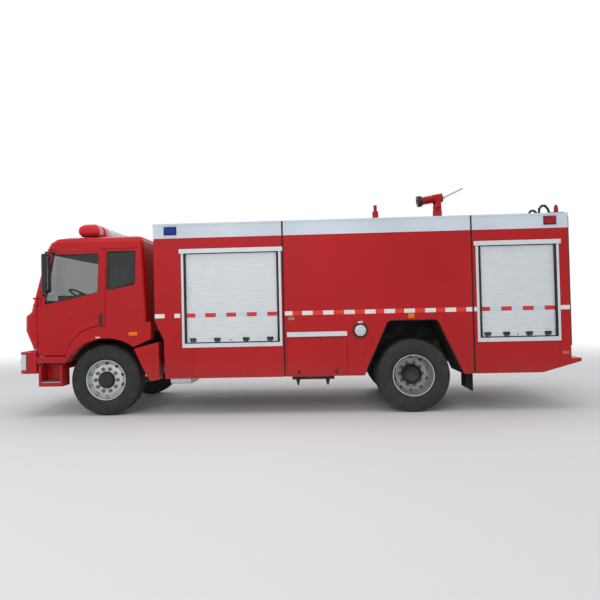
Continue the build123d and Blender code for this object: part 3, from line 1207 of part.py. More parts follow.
# Roof fittings: the monitor's riser and the tank breather
BREATHER_AT = (REAR_AXLE_X + 410, 450)
BREATHER_TOP_Z = 3120
SPIGOT_R = 40
SPIGOT_HEIGHT = 60
with BuildPart() as roof_fittings:
    rod((MONITOR_X, 0, DECK_Z), (MONITOR_X, 0, RISER_TOP_Z), MONITOR_RISER_R)
    rod((MONITOR_X, 0, RISER_TOP_Z - 10), (MONITOR_X, 0, RISER_TOP_Z + SPIGOT_HEIGHT), SPIGOT_R)
    rod((*BREATHER_AT, DECK_Z), (*BREATHER_AT, BREATHER_TOP_Z - 100), 48)
    rod((*BREATHER_AT, BREATHER_TOP_Z - 110), (*BREATHER_AT, BREATHER_TOP_Z), 27)
save(roof_fittings, "roof_fittings")

# Monitor: swivelling elbow with a fork, and the barrel with its trunnion and tiller
FORK_Y = 105
drop = radians(-BARREL_DROP_DEG)
aim = (cos(drop), 0, sin(drop))


def on_barrel(distance):
    """A point along the barrel's axis from its trunnion."""
    return MONITOR_X + distance * aim[0], 0, MONITOR_AXIS_Z + distance * aim[2]


with BuildPart() as monitor_elbow:
    rod((MONITOR_X, 0, RISER_TOP_Z + JOINT_GAP), (MONITOR_X, 0, RISER_TOP_Z + 70), 70)
    for side in (-1, 1):
        y_in, y_out = span(side, FORK_Y - 24, FORK_Y)
        block(MONITOR_X - 45, MONITOR_X + 45, y_in, y_out, RISER_TOP_Z + 40, MONITOR_AXIS_Z + 40)
        rod(
            (MONITOR_X, side * (FORK_Y + 10), MONITOR_AXIS_Z),
            (MONITOR_X, side * (FORK_Y - 40), MONITOR_AXIS_Z), TRUNNION_R,
        )
    block(MONITOR_X - 45, MONITOR_X + 45, -FORK_Y, FORK_Y, RISER_TOP_Z + 40, RISER_TOP_Z + 70)
    rod(
        (MONITOR_X, 0, RISER_TOP_Z + JOINT_GAP - 1), (MONITOR_X, 0, RISER_TOP_Z + SPIGOT_HEIGHT + 2),
        SPIGOT_R + RUN_GAP, Mode.SUBTRACT,
    )
save(monitor_elbow, "monitor_elbow")
with BuildPart() as monitor_barrel:
    rod(on_barrel(-85), on_barrel(85), 72)
    rod(on_barrel(70), on_barrel(325), 56)
    for distance in (110, 150, 190, 230):
        rod(on_barrel(distance), on_barrel(distance + 16), 70)
    rod(on_barrel(265), on_barrel(330), 84)
    rod(on_barrel(250), on_barrel(331), 44, Mode.SUBTRACT)
    for side in (-1, 1):
        rod(
            (MONITOR_X, side * (FORK_Y - 41), MONITOR_AXIS_Z), (MONITOR_X, side * FORK_Y, MONITOR_AXIS_Z),
            TRUNNION_R + RUN_GAP, Mode.SUBTRACT,
        )
save(monitor_barrel, "monitor_barrel")
with BuildPart() as monitor_tiller:
    rod(on_barrel(-85), on_barrel(-130), 22)
    rod(on_barrel(-120), (MONITOR_X - 423, 0, MONITOR_AXIS_Z + 155), 12)
    with Locations(on_barrel(-120)):
        Sphere(22)
save(monitor_tiller, "monitor_tiller")
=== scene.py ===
"""Looks of the fire truck: finishes, tyres, trim, lamps, seats, studio and camera.

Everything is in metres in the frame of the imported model: X forward, Y to the truck's left, Z up,
with the origin on the ground under the middle of the truck.
"""

import logging
import math
from contextlib import contextmanager
from dataclasses import dataclass
from enum import Enum
from typing import Callable, Iterator, Sequence

import bpy
from mathutils import Matrix, Vector

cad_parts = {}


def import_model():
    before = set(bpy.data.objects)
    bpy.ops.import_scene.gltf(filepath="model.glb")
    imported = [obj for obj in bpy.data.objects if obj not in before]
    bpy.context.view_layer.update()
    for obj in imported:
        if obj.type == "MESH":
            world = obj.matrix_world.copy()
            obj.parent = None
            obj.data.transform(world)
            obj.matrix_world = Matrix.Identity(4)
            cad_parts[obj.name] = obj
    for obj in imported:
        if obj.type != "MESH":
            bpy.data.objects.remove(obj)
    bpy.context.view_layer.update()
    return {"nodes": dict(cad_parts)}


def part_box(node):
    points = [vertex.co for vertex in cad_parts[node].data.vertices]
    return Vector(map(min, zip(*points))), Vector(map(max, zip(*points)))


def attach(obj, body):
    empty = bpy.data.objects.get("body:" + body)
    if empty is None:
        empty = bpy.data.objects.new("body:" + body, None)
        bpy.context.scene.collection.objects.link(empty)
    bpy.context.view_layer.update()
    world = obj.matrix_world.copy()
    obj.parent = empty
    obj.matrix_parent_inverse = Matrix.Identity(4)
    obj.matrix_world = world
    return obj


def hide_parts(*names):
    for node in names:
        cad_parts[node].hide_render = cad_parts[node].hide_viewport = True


LOG = logging.getLogger("fire_truck")
Point = tuple[float, float, float]
Colour = tuple[float, float, float, float]
REAR_AXLE_X = -1.735


def srgb(red: int, green: int, blue: int) -> Colour:
    """Turn an 8-bit screen colour into the linear colour that shaders take.

    Args:
        red: Red from 0 to 255.
        green: Green from 0 to 255.
        blue: Blue from 0 to 255.

    Returns:
        Linear red, green, blue and an alpha of 1.
    """
    def linear(level: int) -> float:
        share = level / 255
        return share / 12.92 if share <= 0.04045 else ((share + 0.055) / 1.055) ** 2.4

    return linear(red), linear(green), linear(blue), 1.0


def shaded(colour: Colour, share: float) -> Colour:
    """A colour darkened to a share of its light."""
    return tuple(share * level for level in colour[:3]) + (1.0,)


class Signal:
    """One output socket of a material, usable in arithmetic."""

    def __init__(self, graph: "Graph", socket: bpy.types.NodeSocket) -> None:
        """Keep the socket and the graph that it belongs to."""
        self.graph = graph
        self.socket = socket

    def _math(self, operation: str, first: object, second: object) -> "Signal":
        """Add one Math node for an operation on two values."""
        return self.graph.node("ShaderNodeMath", {"operation": operation}, {0: first, 1: second})

    def __add__(self, other: object) -> "Signal":
        """Sum of two values."""
        return self._math("ADD", self, other)

    __radd__ = __add__

    def __sub__(self, other: object) -> "Signal":
        """Difference of two values."""
        return self._math("SUBTRACT", self, other)

    def __rsub__(self, other: object) -> "Signal":
        """Difference with this value taken away."""
        return self._math("SUBTRACT", other, self)

    def __mul__(self, other: object) -> "Signal":
        """Product of two values."""
        return self._math("MULTIPLY", self, other)

    __rmul__ = __mul__

    def between(self, low: float, high: float) -> "Signal":
        """Smooth rise from 0 at low to 1 at high.

        Args:
            low: Value that gives 0.
            high: Value that gives 1.

        Returns:
            The eased value.
        """
        return self.graph.node(
            "ShaderNodeMapRange", {"interpolation_type": "SMOOTHSTEP"},
            {0: self, 1: low, 2: high, 3: 0.0, 4: 1.0},
        )


class Graph:
    """Node tree of one material."""

    def __init__(self, name: str) -> None:
        """Start an empty material with an output node."""
        self.material = bpy.data.materials.new(f"{name}_look")
        self.material.use_nodes = True
        self.tree = self.material.node_tree
        self.tree.nodes.clear()
        self.output = self.tree.nodes.new("ShaderNodeOutputMaterial")

    def node(
        self, kind: str, settings: dict | None = None, inputs: dict | None = None, output: int | str = 0
    ) -> Signal:
        """Add one node.

        Args:
            kind: Blender's type name of the node.
            settings: Properties, which are set first.
            inputs: Values or signals by socket name or number.
            output: Which output socket to hand back.

        Returns:
            The chosen output as a signal.
        """
        made = self.tree.nodes.new(kind)
        for key, value in (settings or {}).items():
            setattr(made, key, value)
        for key, value in (inputs or {}).items():
            if isinstance(value, Signal):
                self.tree.links.new(value.socket, made.inputs[key])
            else:
                made.inputs[key].default_value = value
        return Signal(self, made.outputs[output])

    def place(self) -> Signal:
        """Object coordinates, which are the truck's own metres."""
        return self.node("ShaderNodeTexCoord", output="Object")

    def axis(self, letter: str) -> Signal:
        """One of the truck's own coordinates, X, Y or Z."""
        return self.node("ShaderNodeSeparateXYZ", None, {0: self.place()}, letter)

    def stretched(self, factors: Point) -> Signal:
        """Object coordinates scaled along each axis."""
        return self.node("ShaderNodeMapping", None, {"Vector": self.place(), "Scale": factors})

    def noise(self, scale: float, detail: float = 3.0, at: Signal | None = None) -> Signal:
        """Noise on the truck's own coordinates.

        Args:
            scale: Grains per metre.
            detail: Octaves of finer noise.
            at: Other coordinates to use.

        Returns:
            Noise about 0.5.
        """
        return self.node(
            "ShaderNodeTexNoise", None, {"Vector": at or self.place(), "Scale": scale, "Detail": detail}
        )

    def mix(self, share: object, first: object, second: object) -> Signal:
        """Mix two colours by a share from 0 to 1."""
        return self.node(
            "ShaderNodeMix", {"data_type": "RGBA"}, {"Factor": share, 6: first, 7: second}, 2
        )

    def bump(self, height: Signal, depth: float, strength: float = 1.0) -> Signal:
        """Normal from a height.

        Args:
            height: Height from 0 to 1.
            depth: Real depth of 1, in metres.
            strength: Share of the effect.

        Returns:
            The bent normal.
        """
        return self.node("ShaderNodeBump", None, {"Strength": strength, "Distance": depth, "Height": height})

    def finish(self, **sockets: object) -> bpy.types.Material:
        """Close the material with one Principled shader.

        Args:
            **sockets: Socket values by name, with _ for a space.

        Returns:
            The finished material.
        """
        inputs = {key.replace("_", " "): value for key, value in sockets.items()}
        shader = self.node("ShaderNodeBsdfPrincipled", None, inputs)
        self.tree.links.new(shader.socket, self.output.inputs["Surface"])
        return self.material


@dataclass(frozen=True)
class CoachPaint:
    """Glossy sprayed paint with orange peel, road film low down and faint fading."""

    name: str
    colour: Colour
    film: Colour = srgb(120, 96, 84)
    gloss: float = 0.28
    film_top: float = 0.95

    def make(self) -> bpy.types.Material:
        """Build the paint's material."""
        graph = Graph(self.name)
        peel = graph.noise(140, 2)
        cloud = graph.noise(0.9, 3)
        specks = graph.noise(38, 4).between(0.56, 0.78)
        low = 1 - graph.axis("Z").between(0.42, self.film_top)
        film = low * (0.25 + 0.5 * cloud) * (0.35 + specks)
        paint = graph.mix(cloud.between(0.3, 0.72), shaded(self.colour, 0.86), self.colour)
        return graph.finish(
            Base_Color=graph.mix(film * 0.7, paint, self.film),
            Roughness=self.gloss + 0.08 * cloud + 0.3 * film,
            Coat_Weight=0.16 - 0.14 * film,
            Coat_Roughness=0.08,
            Specular_IOR_Level=0.22,
            Normal=graph.bump(peel, 0.0006, 0.22),
        )


@dataclass(frozen=True)
class SatinMetal:
    """Anodised, brushed or cast metal with a grain along one axis."""

    name: str
    colour: Colour
    shine: float = 0.38
    grain: Point = (6.0, 60.0, 400.0)
    metal: float = 0.9
    depth: float = 0.0003
    dirt: float = 0.25

    def make(self) -> bpy.types.Material:
        """Build the metal's material."""
        graph = Graph(self.name)
        brush = graph.noise(1.0, 3, graph.stretched(self.grain))
        stain = graph.noise(4.5, 4)
        grime = stain.between(0.5, 0.8) * self.dirt
        pale = graph.mix(brush * 0.35, self.colour, shaded(self.colour, 0.62))
        return graph.finish(
            Base_Color=graph.mix(grime, pale, srgb(92, 84, 76)),
            Metallic=self.metal - 0.5 * grime,
            Roughness=self.shine + 0.16 * brush + 0.25 * grime,
            Normal=graph.bump(brush, self.depth, 0.35),
        )


@dataclass(frozen=True)
class MouldedPlastic:
    """Moulded plastic or painted steel with a fine leather-like grain."""

    name: str
    colour: Colour
    dull: float = 0.5
    grain: float = 900.0
    dust: float = 0.22

    def make(self) -> bpy.types.Material:
        """Build the plastic's material."""
        graph = Graph(self.name)
        cells = graph.node(
            "ShaderNodeTexVoronoi", {"feature": "SMOOTH_F1"}, {"Vector": graph.place(), "Scale": self.grain}
        )
        cloud = graph.noise(3.5, 4)
        settled = cloud.between(0.45, 0.8) * self.dust
        return graph.finish(
            Base_Color=graph.mix(settled, self.colour, srgb(128, 120, 110)),
            Roughness=self.dull + 0.12 * cloud + 0.2 * settled,
            Normal=graph.bump(cells, 0.0004, 0.3),
        )


@dataclass(frozen=True)
class TyreRubber:
    """Tyre compound: nearly black, with pale dust in the tread and on the sidewall."""

    name: str
    colour: Colour = srgb(38, 38, 40)

    def make(self) -> bpy.types.Material:
        """Build the rubber's material."""
        graph = Graph(self.name)
        grain = graph.noise(420, 3)
        cloud = graph.noise(7, 4)
        dust = cloud.between(0.4, 0.75) * 0.16
        return graph.finish(
            Base_Color=graph.mix(dust, self.colour, srgb(104, 98, 90)),
            Roughness=0.68 + 0.18 * cloud,
            Normal=graph.bump(grain, 0.0008, 0.35),
        )


@dataclass(frozen=True)
class TintedGlass:
    """Tinted safety glass with a faint, uneven haze."""

    name: str
    tint: Colour
    cover: float

    def make(self) -> bpy.types.Material:
        """Build the glass's material."""
        graph = Graph(self.name)
        haze = graph.noise(5, 4).between(0.45, 0.85)
        return graph.finish(
            Base_Color=self.tint,
            Roughness=0.02 + 0.02 * haze,
            Alpha=self.cover + 0.03 * haze,
            Specular_IOR_Level=0.6,
            IOR=1.5,
        )


@dataclass(frozen=True)
class LampLens:
    """Coloured lamp lens with moulded prisms behind a glossy face."""

    name: str
    colour: Colour
    prism: float = 0.012
    glow: float = 0.0

    def make(self) -> bpy.types.Material:
        """Build the lens's material."""
        graph = Graph(self.name)
        ridge = graph.node(
            "ShaderNodeTexVoronoi", {"feature": "DISTANCE_TO_EDGE"},
            {"Vector": graph.place(), "Scale": 1 / self.prism},
        ).between(0.0, 0.35)
        shade = graph.mix(ridge, shaded(self.colour, 0.68), self.colour)
        return graph.finish(
            Base_Color=shade,
            Roughness=0.12 + 0.1 * ridge,
            Specular_IOR_Level=0.25,
            Coat_Weight=0.12,
            Coat_Roughness=0.03,
            Emission_Color=shade,
            Emission_Strength=self.glow,
            Normal=graph.bump(ridge, 0.0005, 0.3),
        )


@dataclass(frozen=True)
class MarkerTape:
    """Retro-reflective marker tape with a fine honeycomb."""

    name: str
    colour: Colour

    def make(self) -> bpy.types.Material:
        """Build the tape's material."""
        graph = Graph(self.name)
        cells = graph.node(
            "ShaderNodeTexVoronoi", {"feature": "DISTANCE_TO_EDGE"}, {"Vector": graph.place(), "Scale": 260.0}
        ).between(0.02, 0.12)
        soil = graph.noise(6, 4).between(0.5, 0.85) * 0.25
        pale = graph.mix(0.18 - 0.18 * cells, self.colour, srgb(150, 150, 150))
        return graph.finish(
            Base_Color=graph.mix(soil, pale, srgb(140, 128, 118)),
            Roughness=0.3 + 0.2 * soil,
            Specular_IOR_Level=0.2,
            Coat_Weight=0.08,
            Normal=graph.bump(cells, 0.0002, 0.3),
        )


@dataclass(frozen=True)
class SeatCloth:
    """Woven seat cloth: crossing threads with a worn, paler bloom."""

    name: str
    colour: Colour
    threads: float = 95.0

    def make(self) -> bpy.types.Material:
        """Build the cloth's material."""
        graph = Graph(self.name)
        warp, weft = (
            graph.node(
                "ShaderNodeTexWave", {"bands_direction": way},
                {"Vector": graph.place(), "Scale": self.threads},
            )
            for way in ("X", "Y")
        )
        weave = warp * 0.5 + weft * 0.5
        bloom = graph.noise(5, 4).between(0.4, 0.8)
        threads = graph.mix(weave, shaded(self.colour, 0.55), self.colour)
        return graph.finish(
            Base_Color=graph.mix(bloom * 0.25, threads, srgb(150, 148, 144)),
            Roughness=0.85 + 0.1 * bloom,
            Normal=graph.bump(weave, 0.0015, 0.6),
        )


@dataclass(frozen=True)
class TreadPlate:
    """Aluminium tread plate with raised pads in staggered rows."""

    name: str
    colour: Colour

    def make(self) -> bpy.types.Material:
        """Build the plate's material."""
        graph = Graph(self.name)
        bars = graph.node(
            "ShaderNodeTexBrick",
            {"offset": 0.5},
            {"Vector": graph.place(), "Scale": 14.0, "Mortar Size": 0.035, "Mortar Smooth": 0.3},
            "Fac",
        )
        grime = graph.noise(5, 5).between(0.4, 0.75)
        return graph.finish(
            Base_Color=graph.mix(grime * 0.2, self.colour, srgb(104, 100, 96)),
            Metallic=0.7 - 0.15 * grime,
            Roughness=0.45 + 0.1 * grime,
            Normal=graph.bump(bars, 0.002, 0.7),
        )


class Finish(Enum):
    """Every finish on the truck."""

    RED = CoachPaint("red_paint", srgb(182, 14, 20))
    WHITE = CoachPaint("white_fascia", srgb(214, 224, 233), srgb(150, 146, 140), 0.34)
    SHUTTER = SatinMetal(
        "shutter_aluminium", srgb(222, 227, 230), 0.46, (1.5, 1.5, 260.0), 0.3, 0.00003, 0.05
    )
    RAIL = SatinMetal("rail_aluminium", srgb(216, 221, 226), 0.38, (3.0, 3.0, 300.0), 0.35, 0.0001, 0.08)
    CHASSIS = MouldedPlastic("frame_black", srgb(30, 30, 31), 0.55, 260.0, 0.4)
    PLASTIC = MouldedPlastic("black_plastic", srgb(24, 24, 26), 0.42)
    SEAL = MouldedPlastic("seal_rubber", srgb(16, 16, 17), 0.62, 1400.0, 0.15)
    LINER = MouldedPlastic("liner_rubber", srgb(26, 26, 27), 0.7, 320.0, 0.45)
    INTERIOR = MouldedPlastic("interior_grey", srgb(108, 110, 112), 0.6, 700.0, 0.1)
    DASH = MouldedPlastic("dash_grey", srgb(58, 60, 63), 0.58, 700.0, 0.1)
    TYRE = TyreRubber("tyre_rubber")
    WHEEL = SatinMetal("wheel_silver", srgb(206, 208, 210), 0.3, (60.0, 60.0, 60.0), 0.75, 0.0002, 0.25)
    REAR_WHEEL = SatinMetal("wheel_grey", srgb(184, 184, 184), 0.45, (60.0, 60.0, 60.0), 0.35, 0.0002, 0.25)
    NUT = SatinMetal("nut_steel", srgb(120, 120, 121), 0.36, (200.0, 200.0, 200.0), 0.9, 0.0001, 0.3)
    STEEL = SatinMetal("bright_steel", srgb(200, 202, 205), 0.24, (200.0, 200.0, 200.0), 1.0, 0.0001, 0.15)
    BRASS = SatinMetal("latch_brass", srgb(186, 150, 84), 0.34, (200.0, 200.0, 200.0), 1.0, 0.0001, 0.2)
    IRON = MouldedPlastic("cast_iron", srgb(52, 51, 50), 0.62, 180.0, 0.5)
    CLEAR_GLASS = TintedGlass("tinted_glass", srgb(44, 56, 56), 0.34)
    DARK_GLASS = TintedGlass("privacy_glass", srgb(18, 22, 25), 0.86)
    MIRROR = SatinMetal("mirror_silver", srgb(225, 228, 230), 0.05, (10.0, 10.0, 10.0), 1.0, 0.00001, 0.02)
    CLEAR_LENS = LampLens("clear_lens", srgb(222, 228, 232), 0.009)
    BLUE_LENS = LampLens("blue_lens", srgb(12, 44, 140), 0.016, 0.12)
    RED_LENS = LampLens("red_lens", srgb(164, 12, 22), 0.014, 0.06)
    BAR_LENS = LampLens("bar_lens", srgb(206, 22, 44), 0.010, 0.18)
    AMBER_LENS = LampLens("amber_lens", srgb(236, 124, 8), 0.01, 0.12)
    BUFF_LENS = LampLens("buff_reflector", srgb(186, 128, 92), 0.006)
    TAPE_WHITE = MarkerTape("tape_white", srgb(234, 232, 230))
    TAPE_RED = MarkerTape("tape_red", srgb(208, 36, 34))
    TAPE_ORANGE = MarkerTape("tape_orange", srgb(226, 44, 24))
    TAPE_SILVER = MarkerTape("tape_silver", srgb(206, 216, 224))
    CLOTH = SeatCloth("seat_cloth", srgb(92, 96, 102))
    DECK = TreadPlate("deck_plate", srgb(176, 178, 180))

    def material(self) -> bpy.types.Material:
        """The finish's material, built on first use."""
        return bpy.data.materials.get(f"{self.value.name}_look") or self.value.make()


FINISHED_NODES: dict[Finish, str] = {
    Finish.RED: (
        "cab_front cab_roof cab_rear_wall cab_sides cab_arches door_left door_right front_bumper "
        "front_guards front_module tank_module rear_module locker_flap_left locker_flap_right "
        "rear_step roof_fittings monitor_elbow monitor_barrel"
    ),
    Finish.WHITE: "roof_fascia",
    Finish.SHUTTER: "shutter_curtains",
    Finish.RAIL: "shutter_frames locker_gutters fuel_tank",
    Finish.CHASSIS: "chassis_frame axles leaf_springs tie_rod drain_valves",
    Finish.IRON: "powertrain knuckle_left knuckle_right",
    Finish.LINER: "wheel_housings",
    Finish.PLASTIC: "rear_ladder door_fittings_left door_fittings_right grille",
    Finish.STEEL: "monitor_tiller",
    Finish.CLEAR_GLASS: "cab_glass door_glass_left door_glass_right",
    Finish.INTERIOR: "cab_floor",
    Finish.DASH: "dashboard",
    Finish.CLOTH: "cab_seats",
    Finish.BAR_LENS: "light_bar",
    Finish.CLEAR_LENS: "headlamps",
    Finish.BLUE_LENS: "blue_lamps",
    Finish.RED_LENS: "red_lamps",
    Finish.TYRE: "front_tyre_left front_tyre_right rear_tyre_left rear_tyre_right",
    Finish.WHEEL: "front_rim_left front_rim_right",
    Finish.REAR_WHEEL: "rear_rim_left rear_rim_right",
}
NODE_FINISHES: dict[str, Finish] = {
    node: finish for finish, names in FINISHED_NODES.items() for node in names.split()
}


def dress_nodes(nodes: dict[str, bpy.types.Object]) -> None:
    """Give every carried-over CAD node its finish.

    Args:
        nodes: The frame's objects by node name.
    """
    for name, node in nodes.items():
        node.data.materials.clear()
        node.data.materials.append(NODE_FINISHES[name].material())
        LOG.info("node %s in %s", name, NODE_FINISHES[name].name)


class Bench:
    """The modelling moves that every new piece is made with."""

    @staticmethod
    def alone(piece: bpy.types.Object | None = None) -> None:
        """Deselect everything, then select one piece and make it active."""
        bpy.ops.object.select_all(action="DESELECT")
        if piece is not None:
            piece.select_set(True)
            bpy.context.view_layer.objects.active = piece

    @staticmethod
    @contextmanager
    def editing(piece: bpy.types.Object, kind: str = "FACE") -> Iterator[None]:
        """Open a piece in edit mode, with what was picked on it selected.

        Args:
            piece: The piece to open.
            kind: VERT, EDGE or FACE selection.

        Yields:
            Nothing; the piece leaves edit mode afterwards.
        """
        Bench.alone(piece)
        bpy.context.tool_settings.mesh_select_mode = (kind == "VERT", kind == "EDGE", kind == "FACE")
        bpy.ops.object.mode_set(mode="EDIT")
        yield
        bpy.ops.object.mode_set(mode="OBJECT")

    @staticmethod
    def pick(piece: bpy.types.Object, test: Callable[[bpy.types.MeshPolygon], bool]) -> None:
        """Mark the faces that pass a test for the next edit."""
        mesh = piece.data
        for parts in (mesh.vertices, mesh.edges, mesh.polygons):
            parts.foreach_set("select", [False] * len(parts))
        for face in mesh.polygons:
            face.select = test(face)

    @staticmethod
    def sink(
        piece: bpy.types.Object, test: Callable[[bpy.types.MeshPolygon], bool], rim: float, depth: float
    ) -> None:
        """Inset the faces that pass a test and push them in or out.

        Args:
            piece: The piece to shape.
            test: Test on a face.
            rim: Width that stays round the faces.
            depth: How far they come out; negative is in.
        """
        Bench.pick(piece, test)
        with Bench.editing(piece):
            bpy.ops.mesh.inset(thickness=rim, depth=depth)

    @staticmethod
    def merged(node: bpy.types.Object, name: str, reach: float = 0.0001) -> bpy.types.Object:
        """A copy of a CAD node with its loose triangles joined up."""
        piece = Bench.copy(node, name)
        with Bench.editing(piece):
            bpy.ops.mesh.select_all(action="SELECT")
            bpy.ops.mesh.remove_doubles(threshold=reach)
        return piece

    @staticmethod
    def prune(piece: bpy.types.Object, test: Callable[[bpy.types.MeshPolygon], bool]) -> None:
        """Delete the faces that pass a test."""
        Bench.pick(piece, test)
        with Bench.editing(piece):
            bpy.ops.mesh.delete(type="FACE")

    @staticmethod
    def taper(
        piece: bpy.types.Object, test: Callable[[bpy.types.MeshPolygon], bool], factors: Point
    ) -> None:
        """Scale the faces that pass a test about their middle."""
        Bench.pick(piece, test)
        with Bench.editing(piece):
            bpy.ops.transform.resize(value=factors)

    @staticmethod
    def settle(piece: bpy.types.Object, angle: float = 35.0) -> bpy.types.Object:
        """Put a piece's place into its mesh and smooth its gentle edges."""
        Bench.alone(piece)
        bpy.ops.object.transform_apply()
        bpy.ops.object.shade_smooth_by_angle(angle=math.radians(angle))
        return piece

    @staticmethod
    def slab(name: str, low: Point, high: Point, bevel: float, segments: int = 2) -> bpy.types.Object:
        """A bevelled block between two corners.

        Args:
            name: The piece's name.
            low: Lowest corner.
            high: Highest corner.
            bevel: Width of the bevelled edges.
            segments: Steps in each bevel.

        Returns:
            The block.
        """
        Bench.alone()
        centre = [(a + b) / 2 for a, b in zip(low, high)]
        bpy.ops.mesh.primitive_cube_add(size=1, location=centre)
        piece = bpy.context.active_object
        piece.name = name
        piece.scale = [b - a for a, b in zip(low, high)]
        bpy.ops.object.transform_apply()
        with Bench.editing(piece):
            bpy.ops.mesh.select_all(action="SELECT")
            bpy.ops.mesh.bevel(offset=bevel, segments=segments, affect="EDGES")
        return Bench.settle(piece)

    @staticmethod
    def turned(
        name: str, profile: Sequence[tuple[float, float]], centre: Point, axis: Point, steps: int
    ) -> bpy.types.Object:
        """A profile spun about an axis, as on a lathe.

        Args:
            name: The piece's name.
            profile: Distance along the axis and radius of each point.
            centre: Point on the axis that distances start from.
            axis: Direction of the axis.
            steps: Faces round the piece.

        Returns:
            The turned piece, with closed ends where the profile reaches the axis.
        """
        along = Vector(axis).normalized()
        across = along.orthogonal().normalized()
        points = [Vector(centre) + along * a + across * r for a, r in profile]
        Bench.alone()
        bpy.ops.mesh.primitive_plane_add(size=0.01, location=points[0])
        piece = bpy.context.active_object
        piece.name = name
        bpy.ops.object.transform_apply()
        with Bench.editing(piece, "VERT"):
            bpy.ops.mesh.select_all(action="SELECT")
            bpy.ops.mesh.merge(type="CENTER")
            for start, end in zip(points, points[1:]):
                bpy.ops.mesh.extrude_region_move(TRANSFORM_OT_translate={"value": end - start})
            bpy.ops.mesh.select_all(action="SELECT")
            bpy.ops.mesh.spin(steps=steps, angle=2 * math.pi, center=centre, axis=along)
            bpy.ops.mesh.select_all(action="SELECT")
            bpy.ops.mesh.remove_doubles(threshold=0.00002)
            bpy.ops.mesh.normals_make_consistent(inside=False)
        return Bench.settle(piece, 30)

    @staticmethod
    def bent_rod(name: str, points: Sequence[Point], radius: float, closed: bool = False) -> bpy.types.Object:
        """A round bar along a line of points.

        Args:
            name: The piece's name.
            points: Points of the centre line.
            radius: Radius of the bar.
            closed: Whether the bar is a ring.

        Returns:
            The bar as a mesh.
        """
        line = bpy.data.curves.new(name, "CURVE")
        line.dimensions = "3D"
        spline = line.splines.new("POLY")
        spline.points.add(len(points) - 1)
        for spot, point in zip(spline.points, points):
            spot.co = (*point, 1)
        spline.use_cyclic_u = closed
        line.bevel_depth = radius
        line.bevel_resolution = 3
        line.use_fill_caps = True
        piece = bpy.data.objects.new(name, line)
        bpy.context.collection.objects.link(piece)
        Bench.alone(piece)
        bpy.ops.object.convert(target="MESH")
        return Bench.settle(bpy.context.active_object, 50)

    @staticmethod
    def edge_bead(
        name: str, node: bpy.types.Object, outward: Point, radius: float,
        inside: Callable[[Vector], bool] = lambda spot: True,
    ) -> bpy.types.Object:
        """A bead that follows the outer edge of one face of a CAD node.

        Args:
            name: The piece's name.
            node: The CAD node, which stays as it is.
            outward: Direction that the face looks in.
            radius: Radius of the bead.
            inside: Test on a face's centre, to choose one of several panes.

        Returns:
            The bead as a mesh.
        """
        copy = Bench.merged(node, f"{name}_edge", 0.0002)
        facing = Vector(outward)
        Bench.pick(copy, lambda face: face.normal.dot(facing) > 0.6 and inside(face.center))
        with Bench.editing(copy):
            bpy.ops.mesh.region_to_loop()
            bpy.ops.mesh.duplicate()
            bpy.ops.mesh.separate(type="SELECTED")
        loop = next(piece for piece in bpy.context.selected_objects if piece is not copy)
        bpy.data.objects.remove(copy)
        Bench.alone(loop)
        bpy.ops.object.convert(target="CURVE")
        line = bpy.context.active_object.data
        line.bevel_depth = radius
        line.bevel_resolution = 2
        bpy.ops.object.convert(target="MESH")
        piece = bpy.context.active_object
        piece.name = name
        return Bench.settle(piece, 60)

    @staticmethod
    def doubled(name: str, left: bpy.types.Object) -> bpy.types.Object:
        """A left-hand shape and its mirror image as one piece."""
        return Bench.joined(name, [left, Bench.copy(left, "other_side", ACROSS)])

    @staticmethod
    def copy(piece: bpy.types.Object, name: str, move: Matrix | None = None) -> bpy.types.Object:
        """Another piece of the same shape, with its own mesh.

        Args:
            piece: The piece to copy.
            name: The copy's name.
            move: Where the copy goes.

        Returns:
            The copy.
        """
        other = bpy.data.objects.new(name, piece.data.copy())
        bpy.context.collection.objects.link(other)
        if move is not None:
            other.data.transform(move)
            if move.determinant() < 0:
                other.data.flip_normals()
        return other

    @staticmethod
    def joined(name: str, pieces: Sequence[bpy.types.Object]) -> bpy.types.Object:
        """Several shapes made one piece."""
        Bench.alone(pieces[0])
        for piece in pieces:
            piece.select_set(True)
        if len(pieces) > 1:
            bpy.ops.object.join()
        piece = bpy.context.active_object
        piece.name = name
        return piece

    @staticmethod
    def cut(piece: bpy.types.Object, tool: bpy.types.Object) -> None:
        """Take one closed shape out of another and throw the tool away."""
        Bench.modified(piece, "BOOLEAN", operation="DIFFERENCE", solver="EXACT", object=tool)
        bpy.data.objects.remove(tool)

    @staticmethod
    def modified(piece: bpy.types.Object, kind: str, **settings: object) -> None:
        """Add one modifier to a piece and apply it.

        Args:
            piece: The piece to change, which is alone and active afterwards.
            kind: Blender's type name of the modifier.
            **settings: The modifier's properties.
        """
        Bench.alone(piece)
        change = piece.modifiers.new(kind.lower(), kind)
        for key, value in settings.items():
            setattr(change, key, value)
        bpy.ops.object.modifier_apply(modifier=change.name)

    @staticmethod
    def ring(name: str, first: bpy.types.Object, centre: Point, count: int) -> bpy.types.Object:
        """A shape repeated round an axle through a point, as one piece.

        Args:
            name: The piece's name.
            first: The first shape, which becomes part of the piece.
            centre: Point on the axle.
            count: How many shapes there are in the ring.

        Returns:
            The ring.
        """
        turns = (2 * math.pi * i / count for i in range(1, count))
        others = [Bench.copy(first, name, turn_about(centre, "Y", turn)) for turn in turns]
        return Bench.joined(name, [first, *others])


ACROSS = Matrix.Scale(-1, 4, (0, 1, 0))


